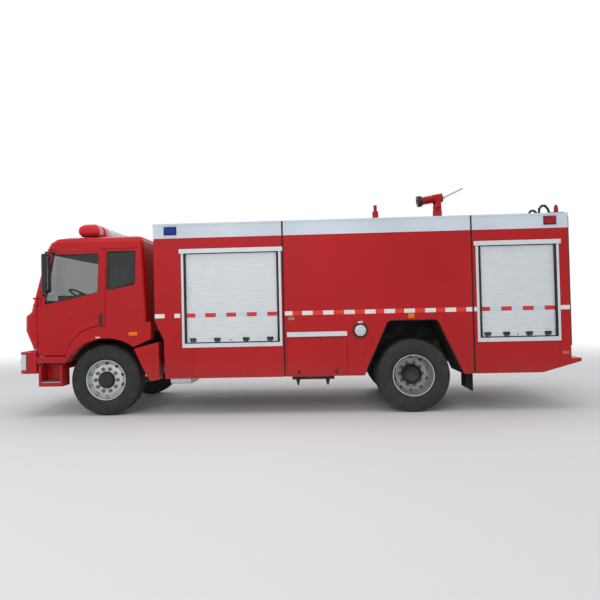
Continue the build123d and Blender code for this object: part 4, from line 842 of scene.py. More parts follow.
def fit(
    piece: bpy.types.Object, finish: Finish, body: str, slot: str, *stands_for: str
) -> bpy.types.Object:
    """Dress a piece and hang it on a body of the frame.

    Args:
        piece: The new piece.
        finish: Its finish.
        body: The CAD body that it moves with.
        slot: Not used.
        *stands_for: CAD nodes that it replaces.

    Returns:
        The same piece.
    """
    piece.data.materials.clear()
    piece.data.materials.append(finish.material())
    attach(piece, body)
    if stands_for:
        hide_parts(*stands_for)
    LOG.info("piece %s on %s in %s", piece.name, body, finish.name)
    return piece


class Side(Enum):
    """The truck's two sides, by the sign of Y."""

    LEFT = 1
    RIGHT = -1

    @property
    def word(self) -> str:
        """The side's name in lower case."""
        return self.name.lower()


def both_sides(
    left: bpy.types.Object, finish: Finish, slot: str, body: str = "truck", *stands_for: str
) -> list[bpy.types.Object]:
    """Fit a piece on the left and its mirror image on the right.

    Args:
        left: The left piece, with "_left" in its name.
        finish: Their finish.
        slot: Passed on to fit.
        body: The body's name, with {side} where it has the side's word.
        *stands_for: CAD nodes that they replace, with {side} in the same way.

    Returns:
        The left and the right piece.
    """
    right = Bench.copy(left, left.name.replace("_left", "_right"), ACROSS)
    for side, piece in ((Side.LEFT, left), (Side.RIGHT, right)):
        nodes = [node.format(side=side.word) for node in stands_for]
        fit(piece, finish, body.format(side=side.word), slot, *nodes)
    return [left, right]


def two_tone(piece: bpy.types.Object, finish: Finish, test: Callable[[Vector], bool]) -> None:
    """Give the faces of a piece that pass a test another finish.

    Args:
        piece: A piece that already has its main finish.
        finish: The other finish.
        test: Test on a face's centre.
    """
    piece.data.materials.append(finish.material())
    last = len(piece.data.materials) - 1
    for face in piece.data.polygons:
        if test(face.center):
            face.material_index = last


def turn_about(centre: Point, axis: str, angle: float) -> Matrix:
    """A turn by an angle about a line through a point, along X, Y or Z."""
    there = Matrix.Translation(centre)
    return there @ Matrix.Rotation(angle, 4, axis) @ there.inverted()


@dataclass
class Wheels:
    """Tyres with ribbed tread, and steel wheels with hubs, hand holes and nuts."""

    crown: float = 0.5218
    tread_half: float = 0.113
    ribs: int = 5
    groove: float = 0.012
    groove_depth: float = 0.014
    steps: int = 120
    nuts: int = 10
    nut_ring: float = 0.1675
    rim_steps: int = 100
    bright_lip: float = 0.2645

    def build(self) -> None:
        """Build all four wheels."""
        for side in Side:
            for plan in (FRONT_WHEEL, REAR_WHEEL):
                self._wheel(plan, side)

    def _wheel(self, plan: "WheelPlan", side: Side) -> None:
        """Build one wheel with its tyre or twin tyres.

        Args:
            plan: Sizes of the axle's wheels.
            side: Left or right.
        """
        end = plan.end
        body = f"{end}_{side.word}_wheel"
        low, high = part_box(f"{end}_rim_{side.word}")
        centre = ((low[0] + high[0]) / 2, side.value * plan.half_track, (low[2] + high[2]) / 2)
        axis = (0, side.value, 0)
        places = [plan.shift, -plan.shift] if plan.shift else [0.0]
        tyres = [
            self._tyre(f"{body}_tyre{i}", (centre[0], centre[1] + side.value * place, centre[2]), axis)
            for i, place in enumerate(places)
        ]
        fit(Bench.joined(f"{body}_tyre", tyres), Finish.TYRE, body, "tyre_rubber", f"{end}_tyre_{side.word}")
        metal = Bench.turned(f"{body}_rim", plan.rim, centre, axis, self.rim_steps)
        self._hand_holes(metal, centre, axis, plan.hole_ring, plan.hole_depth)
        fit(metal, plan.finish, body, "wheel_silver", f"{end}_rim_{side.word}")
        two_tone(metal, Finish.PLASTIC, lambda spot: self._radius(spot, centre) < plan.hub
                 and (spot.y - centre[1]) * side.value > plan.stud_face + 0.001)
        if end == "rear":
            two_tone(metal, Finish.WHEEL, lambda spot: self._radius(spot, centre) > self.bright_lip)
        self._nuts(body, centre, side, plan.stud_face)

    @staticmethod
    def _radius(spot: Vector, centre: Point) -> float:
        """Distance of a point from the axle's line."""
        return math.hypot(spot.x - centre[0], spot.z - centre[2])

    def _section(self) -> list[tuple[float, float]]:
        """Tyre section from the outer bead round the tread to the inner bead, and closed."""
        wall = [
            (0.104, 0.2985), (0.113, 0.303), (0.126, 0.318), (0.137, 0.343), (0.1405, 0.347),
            (0.1425, 0.356), (0.1463, 0.385), (0.1474, 0.410), (0.1462, 0.434), (0.1440, 0.439),
            (0.1422, 0.452), (0.1352, 0.482), (0.1285, 0.500), (0.1215, 0.511),
        ]
        rib = (2 * self.tread_half - (self.ribs - 1) * self.groove) / self.ribs
        tread: list[tuple[float, float]] = []
        at = self.tread_half
        for i in range(self.ribs):
            for edge in (at, at - rib):
                tread.append((edge, self.crown - 0.0055 * (edge / self.tread_half) ** 2))
            at -= rib
            if i < self.ribs - 1:
                floor = self.crown - self.groove_depth
                tread += [(at - 0.002, floor), (at - self.groove + 0.002, floor)]
                at -= self.groove
        return wall + tread + [(-a, r) for a, r in reversed(wall)] + wall[:1]

    def _tyre(self, name: str, centre: Point, axis: Point) -> bpy.types.Object:
        """One tyre with grooves round it and notches across its shoulders."""
        tyre = Bench.turned(name, self._section(), centre, axis, self.steps)
        step = 2 * math.pi / self.steps

        def notch(face: bpy.types.MeshPolygon) -> bool:
            """Whether a face is the bottom of a shoulder notch."""
            spot = face.center
            turn = int((math.atan2(spot.z - centre[2], spot.x - centre[0]) + math.pi) / step)
            out = abs(spot.y - centre[1])
            return 0.078 < out < 0.1135 and self._radius(spot, centre) > 0.5125 and turn % 3 == 0

        Bench.pick(tyre, notch)
        with Bench.editing(tyre):
            bpy.ops.mesh.extrude_faces_move(TRANSFORM_OT_shrink_fatten={"value": -0.010})
        return Bench.settle(tyre, 30)

    def _hand_holes(
        self, metal: bpy.types.Object, centre: Point, axis: Point, ring: float, depth: float
    ) -> None:
        """Cut a ring of hand holes through a wheel's disc."""
        Bench.alone()
        bpy.ops.mesh.primitive_cylinder_add(
            vertices=24, radius=0.019, depth=0.12, rotation=(math.pi / 2, 0, 0),
            location=(centre[0] + ring, centre[1] + axis[1] * depth, centre[2]),
        )
        first = bpy.context.active_object
        first.scale = (0.8, 1.35, 1.0)
        bpy.ops.object.transform_apply()
        tool = Bench.ring("hand_holes", first, centre, self.nuts)
        tool.data.transform(turn_about(centre, "Y", math.pi / self.nuts))
        Bench.cut(metal, tool)

    def _nuts(self, body: str, centre: Point, side: Side, stud_face: float) -> None:
        """The ring of wheel nuts, each with its stud end."""
        Bench.alone()
        bpy.ops.mesh.primitive_cylinder_add(
            vertices=6, radius=0.0205, depth=0.026, rotation=(-side.value * math.pi / 2, 0, 0),
            location=(centre[0] + self.nut_ring, centre[1] + side.value * (stud_face + 0.013), centre[2]),
        )
        first = bpy.context.active_object
        bpy.ops.object.transform_apply()
        Bench.pick(first, lambda face: face.normal.y * side.value < -0.9)
        with Bench.editing(first):
            bpy.ops.transform.translate(value=(0, side.value * 0.006, 0))
            bpy.ops.mesh.extrude_region_move()
            bpy.ops.transform.resize(value=(1.36, 1, 1.36))
            bpy.ops.mesh.extrude_region_move(TRANSFORM_OT_translate={"value": (0, -side.value * 0.006, 0)})
        Bench.pick(first, lambda face: face.normal.y * side.value > 0.9)
        with Bench.editing(first):
            bpy.ops.mesh.inset(thickness=0.007, depth=0.003)
            bpy.ops.mesh.extrude_region_move(TRANSFORM_OT_translate={"value": (0, side.value * 0.012, 0)})
        fit(Bench.ring(f"{body}_nuts", first, centre, self.nuts), Finish.NUT, body, "bright_steel")


@dataclass(frozen=True)
class WheelPlan:
    """Sizes of one axle's wheels; distances run outwards from the rim's middle.

    Twin tyres are at shift on either side, the nuts sit on stud_face, the hand holes lie on a ring of
    radius hole_ring about hole_depth, and hub is the radius of the black hub.
    """

    end: str
    half_track: float
    shift: float
    rim: Sequence[tuple[float, float]]
    finish: Finish
    stud_face: float
    hole_ring: float
    hole_depth: float
    hub: float


FRONT_RIM: list[tuple[float, float]] = [
    (0.1500, 0.0), (0.1500, 0.050), (0.1515, 0.054), (0.1515, 0.088), (0.146, 0.098), (0.128, 0.114),
    (0.104, 0.124), (0.0945, 0.127), (0.092, 0.131), (0.092, 0.212), (0.089, 0.224), (0.062, 0.252),
    (0.058, 0.258), (0.060, 0.263), (0.090, 0.272), (0.112, 0.2785), (0.122, 0.2815), (0.1275, 0.286),
    (0.1295, 0.291), (0.128, 0.296), (0.124, 0.298), (-0.124, 0.298), (-0.128, 0.296), (-0.1295, 0.291),
    (-0.1275, 0.286), (-0.122, 0.2815), (0.020, 0.268), (0.036, 0.258), (0.070, 0.222), (0.076, 0.210),
    (0.076, 0.128), (-0.020, 0.126), (-0.020, 0.0458), (0.1225, 0.0458), (0.1225, 0.0),
]
REAR_RIM: list[tuple[float, float]] = [
    (0.194, 0.0), (0.194, 0.060), (0.1965, 0.064), (0.1965, 0.090), (0.184, 0.104), (0.152, 0.138),
    (0.140, 0.142), (0.024, 0.143), (0.016, 0.150), (0.016, 0.226), (0.022, 0.236), (0.044, 0.262),
    (0.064, 0.2695), (0.200, 0.2760), (0.262, 0.2785), (0.280, 0.2815), (0.2885, 0.286), (0.2905, 0.291),
    (0.2895, 0.296), (0.286, 0.298), (-0.286, 0.298), (-0.2895, 0.296), (-0.2905, 0.291), (-0.2885, 0.286),
    (-0.280, 0.2815), (-0.064, 0.2695), (-0.044, 0.262), (-0.022, 0.236), (-0.016, 0.226), (-0.016, 0.151),
    (-0.235, 0.150), (-0.235, 0.0606), (0.1545, 0.0606), (0.1545, 0.0),
]
FRONT_WHEEL = WheelPlan("front", 1.010, 0.0, FRONT_RIM, Finish.WHEEL, 0.092, 0.242, 0.070, 0.127)
REAR_WHEEL = WheelPlan("rear", 0.930, 0.165, REAR_RIM, Finish.REAR_WHEEL, 0.016, 0.244, 0.020, 0.143)


@dataclass
class MarkerStripes:
    """Broken marker tape along both sides, at one height."""

    low: float = 1.420
    high: float = 1.480
    block: float = 0.152
    rear_axle: float = REAR_AXLE_X
    skin: float = 1.2501
    curtain: float = 1.2382
    thick: float = 0.0007
    tank_whites: tuple[float, ...] = (
        1.865, 1.574, 1.274, 0.971, 0.675, 0.398, 0.116, -0.179, -0.465, -0.759,
    )
    tank_ends: tuple[float, float] = (1.824, -0.844)
    single_whites: tuple[tuple[float, float], ...] = (
        (3.574, 3.718), (3.345, 3.430), (-2.204, -2.073), (-0.910, -0.8705),
    )
    front_reds: tuple[tuple[float, float], ...] = (
        (3.125, 3.256), (2.825, 2.981), (2.530, 2.673), (2.231, 2.373), (1.936, 2.076),
    )
    rear_reds: tuple[tuple[float, float], ...] = (
        (-1.097, -0.960), (-1.400, -1.254), (-1.707, -1.554), (-2.012, -1.860),
    )

    def build(self) -> None:
        """Lay the tape on both sides."""
        whites = [(x - self.block, x) for x in self.tank_whites]
        whites[0] = (whites[0][0], self.tank_ends[0])
        whites[-1] = (self.tank_ends[1], whites[-1][1])
        self._strip("tape_white", [*whites, *self.single_whites], self.skin, Finish.TAPE_WHITE)
        self._strip("tape_orange", self._gaps(whites), self.skin, Finish.TAPE_ORANGE)
        for name, reds in (("front", self.front_reds), ("rear", self.rear_reds)):
            self._strip(f"tape_red_{name}", reds, self.curtain, Finish.TAPE_RED)
            self._strip(f"tape_silver_{name}", self._gaps(reds), self.curtain, Finish.TAPE_SILVER)

    @staticmethod
    def _gaps(spans: Sequence[tuple[float, float]]) -> list[tuple[float, float]]:
        """The gaps between blocks that follow one another rearwards."""
        return [(behind[1], ahead[0]) for ahead, behind in zip(spans, spans[1:])]

    def _strip(self, name: str, spans: Sequence[tuple[float, float]], face: float, finish: Finish) -> None:
        """Lay one colour's blocks.

        Args:
            name: The piece's name.
            spans: Ends of each block, ahead of the rear axle.
            face: How far out the tape's back is.
            finish: The tape's finish.
        """
        pieces = [
            Bench.slab(
                "tape", (self.rear_axle + start, face, self.low),
                (self.rear_axle + end, face + self.thick, self.high), 0.0002, 1,
            )
            for start, end in spans
        ]
        slot = "white_fascia" if finish in (Finish.TAPE_WHITE, Finish.TAPE_SILVER) else "red_paint"
        both_sides(Bench.joined(f"{name}_left", pieces), finish, slot)


@dataclass
class ShutterTrim:
    """Rubber strips, lifting bar and latches of the side shutters."""

    front: tuple[float, float] = (0.131, 1.582)
    rear: tuple[float, float] = (-3.804, -2.646)
    rail: float = 0.058
    strip: float = 0.032
    low: float = 1.043
    top: float = 2.352
    face: float = 1.238
    rail_face: float = 1.262
    rear_axle: float = REAR_AXLE_X
    front_latches: tuple[float, ...] = (3.161, 2.809, 2.391, 2.042)
    rear_latches: tuple[float, ...] = (-1.053, -1.316, -1.633, -1.894)
    front_lock: float = 2.610
    rear_lock: float = -1.475
    knob_z: float = 1.066
    lock_z: float = 1.085

    def build(self) -> None:
        """Trim all four side shutters."""
        latch = self._latch()
        for end, span, latches, lock in (
            ("front", self.front, self.front_latches, self.front_lock),
            ("rear", self.rear, self.rear_latches, self.rear_lock),
        ):
            x0, x1 = span[0] + self.rail, span[1] - self.rail
            back, lip = self.face - 0.004, self.rail_face + 0.0015
            strips = [
                Bench.slab("strip", (left, back, bottom), (right, front, top), 0.002)
                for left, right, front, bottom, top in (
                    (x0 - 0.024, x0 - 0.024 + self.strip, lip, self.low, self.top),
                    (x1 - 0.008, x1 - 0.008 + self.strip, lip, self.low, self.top),
                    (x0, x1, self.face + 0.008, self.low, self.low + 0.014),
                    (x0, x1, self.face + 0.010, self.top - 0.012, self.top),
                )
            ]
            both_sides(Bench.joined(f"shutter_seal_{end}_left", strips), Finish.SEAL, "liner_rubber")
            bar = Bench.slab(
                "bar", (x0 + 0.020, self.face - 0.008, self.low + 0.015),
                (x1 - 0.020, self.face + 0.007, self.low + 0.088), 0.004,
            )
            Bench.sink(bar, lambda face: face.normal.y > 0.9 and face.area > 0.01, 0.012, -0.003)
            both_sides(Bench.joined(f"lift_bar_{end}_left", [bar]), Finish.RAIL, "shutter_aluminium")
            copies = [
                Bench.copy(latch, "latch", Matrix.Translation((self.rear_axle + x, 0, 0))) for x in latches
            ]
            both_sides(Bench.joined(f"latches_{end}_left", copies), Finish.PLASTIC, "black_plastic")
            knobs = [
                Bench.turned(
                    "knob", [(0.0, 0.0085), (0.006, 0.0085), (0.009, 0.006), (0.010, 0.0)],
                    (self.rear_axle + x, self.face + 0.026, self.knob_z), (0, 1, 0), 16,
                )
                for x in latches
            ]
            knobs.append(
                Bench.turned(
                    "lock", [(0.0, 0.012), (0.003, 0.012), (0.005, 0.009), (0.005, 0.004), (0.003, 0.0)],
                    (self.rear_axle + lock, self.face + 0.0045, self.lock_z), (0, 1, 0), 20,
                )
            )
            both_sides(Bench.joined(f"latch_knobs_{end}_left", knobs), Finish.BRASS, "bright_steel")
        bpy.data.objects.remove(latch)

    def _latch(self) -> bpy.types.Object:
        """One latch at X 0: a plate with a lug that narrows downwards."""
        plate = Bench.slab(
            "latch", (-0.046, self.face + 0.004, 1.078), (0.046, self.face + 0.024, 1.122), 0.004
        )
        lug = Bench.slab("lug", (-0.028, self.face + 0.004, 1.046), (0.028, self.face + 0.027, 1.084), 0.003)
        Bench.taper(lug, lambda face: face.normal.z < -0.9 and face.area > 0.0005, (0.55, 1, 1))
        return Bench.joined("latch", [plate, lug])


@dataclass
class ModuleSeals:
    """Black rubber in the gaps between the three body modules."""

    seams: tuple[float, float] = (0.103, -2.592)
    half: float = 0.0122
    skirt: float = 0.545
    deck: float = 2.577
    fascia_top: float = 2.7885

    def build(self) -> None:
        """Fill both gaps on the sides, up the fascia and over the deck."""
        for end, x in zip(("front", "rear"), self.seams):
            x0, x1 = x - self.half, x + self.half
            strips = [
                Bench.slab("seal", (x0, 1.190, self.skirt), (x1, 1.2440, self.deck - 0.002), 0.004),
                Bench.slab("seal", (x0, 1.2165, self.deck - 0.006), (x1, 1.2490, self.fascia_top), 0.004),
                Bench.slab("seal", (x0, 0.0, self.deck - 0.020), (x1, 1.2165, self.deck - 0.004), 0.004),
            ]
            both_sides(Bench.joined(f"module_seal_{end}_left", strips), Finish.SEAL, "liner_rubber")


@dataclass
class CabTrim:
    """Window rubbers, pressed creases, marker lamps, step treads and wipers of the cab."""

    nodes: dict[str, bpy.types.Object]
    rubber: float = 0.011
    crease: float = 0.011
    screen_low: Point = (3.905, 0.0, 1.585)
    screen_lean: float = -0.246
    screen_bow: float = 0.060

    def build(self) -> None:
        """Build the trim on both sides and the front."""
        self._rubbers()
        self._creases()
        self._grille_mesh()
        self._markers()
        self._wipers()

    def _rubbers(self) -> None:
        """Black rubber round the door glass, the quarter glass and the windscreen."""
        door = Bench.edge_bead("door_rubber_left", self.nodes["door_glass_left"], (0, 1, 0), self.rubber)
        both_sides(door, Finish.SEAL, "liner_rubber", "{side}_door")
        glass = self.nodes["cab_glass"]
        screen = self._panes("windscreen", glass, lambda face: face.center.x < 2.9)
        fit(screen, Finish.CLEAR_GLASS, "cab", "tinted_glass", "cab_glass")
        dark = self._panes("quarter_glass", glass, lambda face: face.center.x > 2.9)
        fit(dark, Finish.DARK_GLASS, "cab", "tinted_glass")
        quarter = Bench.edge_bead(
            "quarter_rubber_left", glass, (0, 1, 0), self.rubber + 0.005,
            lambda spot: spot.y > 1.05 and spot.x < 2.75,
        )
        both_sides(quarter, Finish.SEAL, "liner_rubber", "cab")
        screen = Bench.edge_bead("screen_rubber", glass, (1, 0, 0), self.rubber, lambda spot: spot.x > 3.2)
        fit(screen, Finish.SEAL, "cab", "liner_rubber")

    @staticmethod
    def _panes(
        name: str, glass: bpy.types.Object, drop: Callable[[bpy.types.MeshPolygon], bool]
    ) -> bpy.types.Object:
        """Some of the fixed panes as a piece of their own.

        Args:
            name: The piece's name.
            glass: The CAD node with all fixed panes, which stays as it is.
            drop: Test for the faces that are left out.

        Returns:
            The chosen panes.
        """
        panes = Bench.merged(glass, name)
        Bench.prune(panes, drop)
        return Bench.settle(panes, 30)

    def _grille_mesh(self) -> None:
        """Black mesh behind the grille's slats, laid on the cab's front skin."""
        sheet = Bench.merged(self.nodes["cab_front"], "grille_mesh")
        for place, outward in (
            ((4.0, 0.735, 1.3), (0, 1, 0)), ((4.0, -0.735, 1.3), (0, -1, 0)),
            ((4.0, 0.0, 1.475), (0, 0, 1)), ((4.0, 0.0, 1.115), (0, 0, -1)), ((3.80, 0.0, 1.3), (-1, 0, 0)),
        ):
            with Bench.editing(sheet):
                bpy.ops.mesh.select_all(action="SELECT")
                bpy.ops.mesh.bisect(plane_co=place, plane_no=outward, clear_outer=True)
        Bench.prune(sheet, lambda face: face.normal.x < 0.5)
        Bench.modified(sheet, "SOLIDIFY", thickness=0.004, offset=1.0)
        fit(Bench.settle(sheet, 30), Finish.SEAL, "cab", "black_plastic")

    def _creases(self) -> None:
        """Pressed lines that run back over the door and the quarter panel."""
        door = Bench.bent_rod(
            "door_crease_left", [(3.330, 1.2290, 1.412), (2.860, 1.2290, 1.548)], self.crease
        )
        both_sides(door, Finish.RED, "red_paint", "{side}_door")
        quarter = Bench.bent_rod(
            "quarter_crease_left", [(2.680, 1.2265, 1.590), (2.470, 1.2235, 1.640)], self.crease
        )
        both_sides(quarter, Finish.RED, "red_paint", "cab")

    def _markers(self) -> None:
        """Marker lamps on the arch, and the tread plate in each cab step."""
        amber = Bench.slab("arch_marker_left", (2.243, 1.246, 1.176), (2.372, 1.264, 1.230), 0.008, 3)
        both_sides(amber, Finish.AMBER_LENS, "clear_lens", "cab")
        white = Bench.slab("arch_reflector_left", (2.797, 1.2465, 1.152), (2.863, 1.2565, 1.170), 0.004, 3)
        both_sides(white, Finish.TAPE_WHITE, "white_fascia", "cab")
        tread = Bench.slab("step_tread_left", (3.404, 1.050, 0.5105), (3.684, 1.2448, 0.5250), 0.004)
        Bench.sink(tread, lambda face: face.normal.z > 0.9 and face.area > 0.01, 0.014, -0.003)
        both_sides(tread, Finish.DECK, "shutter_aluminium")

    def _screen(self, y: float, z: float, off: float) -> Point:
        """Point at a distance in front of the windscreen's skin."""
        x0, _, z0 = self.screen_low
        return x0 + self.screen_lean * (z - z0) - self.screen_bow * (y / 1.2) ** 2 + off, y, z

    def _wipers(self) -> None:
        """Two wipers parked along the foot of the windscreen."""
        pieces = []
        for pivot, tip in ((0.72, 0.02), (-0.10, -0.80)):
            pieces.append(
                Bench.turned(
                    "pivot", [(0.0, 0.024), (0.022, 0.022), (0.030, 0.014), (0.032, 0.0)],
                    self._screen(pivot, 1.560, -0.010), (1, 0, 0.24), 20,
                )
            )
            arm = [self._screen(pivot, 1.560, 0.018), self._screen(pivot - 0.10, 1.585, 0.022),
                   self._screen((pivot + tip) / 2, 1.655, 0.016)]
            pieces.append(Bench.bent_rod("arm", arm, 0.007))
            steps = [tip + (pivot - tip) * i / 4 for i in range(5)]
            blade = [
                self._screen(y, 1.648 + 0.02 * (1 - abs(2 * i / 4 - 1)), 0.004) for i, y in enumerate(steps)
            ]
            pieces.append(Bench.bent_rod("blade", blade, 0.008))
        fit(Bench.joined("wipers", pieces), Finish.PLASTIC, "cab", "black_plastic")


@dataclass
class DoorFittings:
    """Mirror on two arms and the pull handle of each door."""

    mirror: Point = (3.505, 1.400, 2.105)
    size: Point = (0.078, 0.163, 0.558)
    arm: float = 0.0145
    feet: tuple[Point, Point] = ((3.4935, 1.174, 2.410), (3.632, 1.211, 1.800))

    def build(self) -> None:
        """Build both doors' fittings in place of the CAD ones."""
        low = [c - s / 2 for c, s in zip(self.mirror, self.size)]
        high = [c + s / 2 for c, s in zip(self.mirror, self.size)]
        shell = Bench.slab("shell", low, high, 0.026, 5)
        Bench.pick(shell, lambda face: face.normal.x > 0.9 and face.area > 0.02)
        with Bench.editing(shell):
            bpy.ops.mesh.inset(thickness=0.020, depth=0.0)
            bpy.ops.transform.translate(value=(-0.006, 0, 0))
        Bench.sink(shell, lambda face: face.normal.x < -0.9 and face.area > 0.02, 0.008, -0.005)
        pieces = [shell]
        for foot in self.feet:
            level = foot[2]
            up = 1 if level > self.mirror[2] else -1
            end = (self.mirror[0], self.mirror[1], level)
            joint = (end[0], end[1], self.mirror[2] + up * (self.size[2] / 2 - 0.010))
            pieces.append(Bench.bent_rod("arm", [foot, end, joint], self.arm))
            pieces.append(
                Bench.turned(
                    "foot", [(0.0, 0.030), (0.009, 0.030), (0.016, 0.024), (0.034, 0.0185), (0.040, 0.014)],
                    foot, (0, 1, 0), 24,
                )
            )
        plate = Bench.slab("plate", (2.757, 1.228, 1.337), (2.819, 1.2395, 1.513), 0.006, 3)
        Bench.sink(plate, lambda face: face.normal.y > 0.9 and face.area > 0.004, 0.009, -0.006)
        pieces += [plate, Bench.slab("grip", (2.778, 1.2325, 1.356), (2.802, 1.2455, 1.494), 0.006, 3)]
        left = Bench.joined("door_mirror_left", pieces)
        glass = Vector((low[0] + 0.005, self.mirror[1], self.mirror[2]))
        for piece, sign in zip(
            both_sides(left, Finish.PLASTIC, "black_plastic", "{side}_door", "door_fittings_{side}"), (1, -1)
        ):
            middle = Vector((glass.x, sign * glass.y, glass.z))
            two_tone(piece, Finish.MIRROR, lambda spot: (spot - middle).length < 0.02)


@dataclass
class Seats:
    """Driver's seat and two-place bench: padded cushions and backs on plain plinths."""

    places: tuple[tuple[str, float, float], ...] = (("driver", 0.620, 0.500), ("bench", -0.560, 0.860))
    cushion_x: tuple[float, float] = (2.545, 3.090)
    cushion_z: tuple[float, float] = (1.555, 1.682)
    back_low: tuple[float, float] = (2.530, 1.640)
    back_high: tuple[float, float] = (2.405, 2.275)
    back_thick: float = 0.100
    edge: float = 0.03
    shrink: float = 0.014
    voxel: float = 0.008
    swell: float = 0.024
    frames: int = 20

    def build(self) -> None:
        """Build the plinths, then each cushion and back."""
        plinths = [
            Bench.slab("plinth", (2.576, 0.450, 1.262), (3.003, 0.790, 1.556), 0.012),
            Bench.slab("plinth", (2.576, -0.930, 1.262), (3.003, -0.446, 1.556), 0.012),
            Bench.slab("plinth", (2.576, -0.446, 1.502), (3.003, -0.210, 1.556), 0.012),
        ]
        fit(Bench.joined("seat_plinths", plinths), Finish.DASH, "cab", "interior_grey", "cab_seats")
        for name, y, width in self.places:
            self._pad(f"{name}_cushion", self._cushion(y, width))
            self._pad(f"{name}_back", self._back(y, width))

    def _cushion(self, y: float, width: float) -> bpy.types.Object:
        """The seat cushion before it is filled."""
        half = width / 2 - self.shrink
        x0, x1 = self.cushion_x
        z0, z1 = self.cushion_z
        high = (x1 - self.shrink, y + half, z1 - self.shrink)
        return Bench.slab("cushion", (x0 + 0.02, y - half, z0), high, self.edge, 3)

    def _back(self, y: float, width: float) -> bpy.types.Object:
        """The back rest before it is filled, leaning rearwards."""
        half = width / 2 - self.shrink
        (x0, z0), (x1, z1) = self.back_low, self.back_high
        high = (x0 + self.back_thick - self.shrink, y + half, z1 - self.shrink)
        back = Bench.slab("back", (x0, y - half, z0), high, self.edge, 3)
        height = z1 - z0
        for spot in back.data.vertices:
            share = (spot.co.z - z0) / height
            spot.co.x += (x1 - x0) * share
            spot.co.y = y + (spot.co.y - y) * (1 - 0.12 * max(0.0, share - 0.7) / 0.3)
        return back

    def _pad(self, name: str, shape: bpy.types.Object) -> None:
        """Fill a shape like a cushion and fit it.

        Args:
            name: The pad's name.
            shape: The closed shape to fill; it becomes the pad.
        """
        pad = Bench.copy(shape, name)
        bpy.data.objects.remove(shape)
        Bench.modified(pad, "REMESH", mode="VOXEL", voxel_size=self.voxel)
        rest = [spot.co.copy() for spot in pad.data.vertices]
        self._fill(pad)
        for spot, start in zip(pad.data.vertices, rest):
            move = spot.co - start
            if move.length > self.swell:
                spot.co = start + move * (self.swell / move.length)
        Bench.modified(pad, "SUBSURF", levels=1, render_levels=1)
        bpy.ops.object.shade_smooth()
        fit(pad, Finish.CLOTH, "cab", "seat_cloth")

    def _fill(self, pad: bpy.types.Object) -> None:
        """Blow a pad up from inside with cloth, and keep the result."""
        scene = bpy.context.scene
        cloth = pad.modifiers.new("fill", "CLOTH")
        cloth.settings.use_pressure = True
        cloth.settings.uniform_pressure_force = 4.0
        cloth.settings.effector_weights.gravity = 0.0
        cloth.point_cache.frame_start, cloth.point_cache.frame_end = 1, self.frames
        for step in range(1, self.frames + 1):
            scene.frame_set(step)
        bpy.ops.object.modifier_apply(modifier=cloth.name)
        scene.frame_set(1)


@dataclass
class CabInside:
    """Instrument hood, dials and switch panel of the dashboard."""

    dial_places: tuple[float, ...] = (0.520, 0.620, 0.720)
    knob_places: tuple[float, ...] = (-0.10, 0.03, 0.16)

    def build(self) -> None:
        """Build what shows through the windows."""
        hood = Bench.slab("hood", (3.455, 0.430, 1.690), (3.640, 0.810, 1.800), 0.020, 4)
        Bench.sink(hood, lambda face: face.normal.x < -0.9 and face.area > 0.01, 0.016, -0.050)
        panel = Bench.slab("panel", (3.430, -0.160, 1.580), (3.480, 0.220, 1.700), 0.010, 3)
        Bench.sink(panel, lambda face: face.normal.x < -0.9 and face.area > 0.01, 0.010, -0.006)
        fit(Bench.joined("instrument_hood", [hood, panel]), Finish.DASH, "cab", "interior_grey")
        dials = [
            Bench.turned(
                "dial", [(0.0, 0.046), (0.010, 0.046), (0.012, 0.042), (0.006, 0.038), (0.006, 0.0)],
                (3.506, y, 1.745), (-1, 0, 0), 28,
            )
            for y in self.dial_places
        ]
        dials += [
            Bench.turned(
                "knob", [(0.0, 0.018), (0.020, 0.016), (0.024, 0.012), (0.024, 0.0)],
                (3.434, y, 1.615), (-1, 0, 0), 18,
            )
            for y in self.knob_places
        ]
        fit(Bench.joined("dials", dials), Finish.PLASTIC, "cab", "black_plastic")


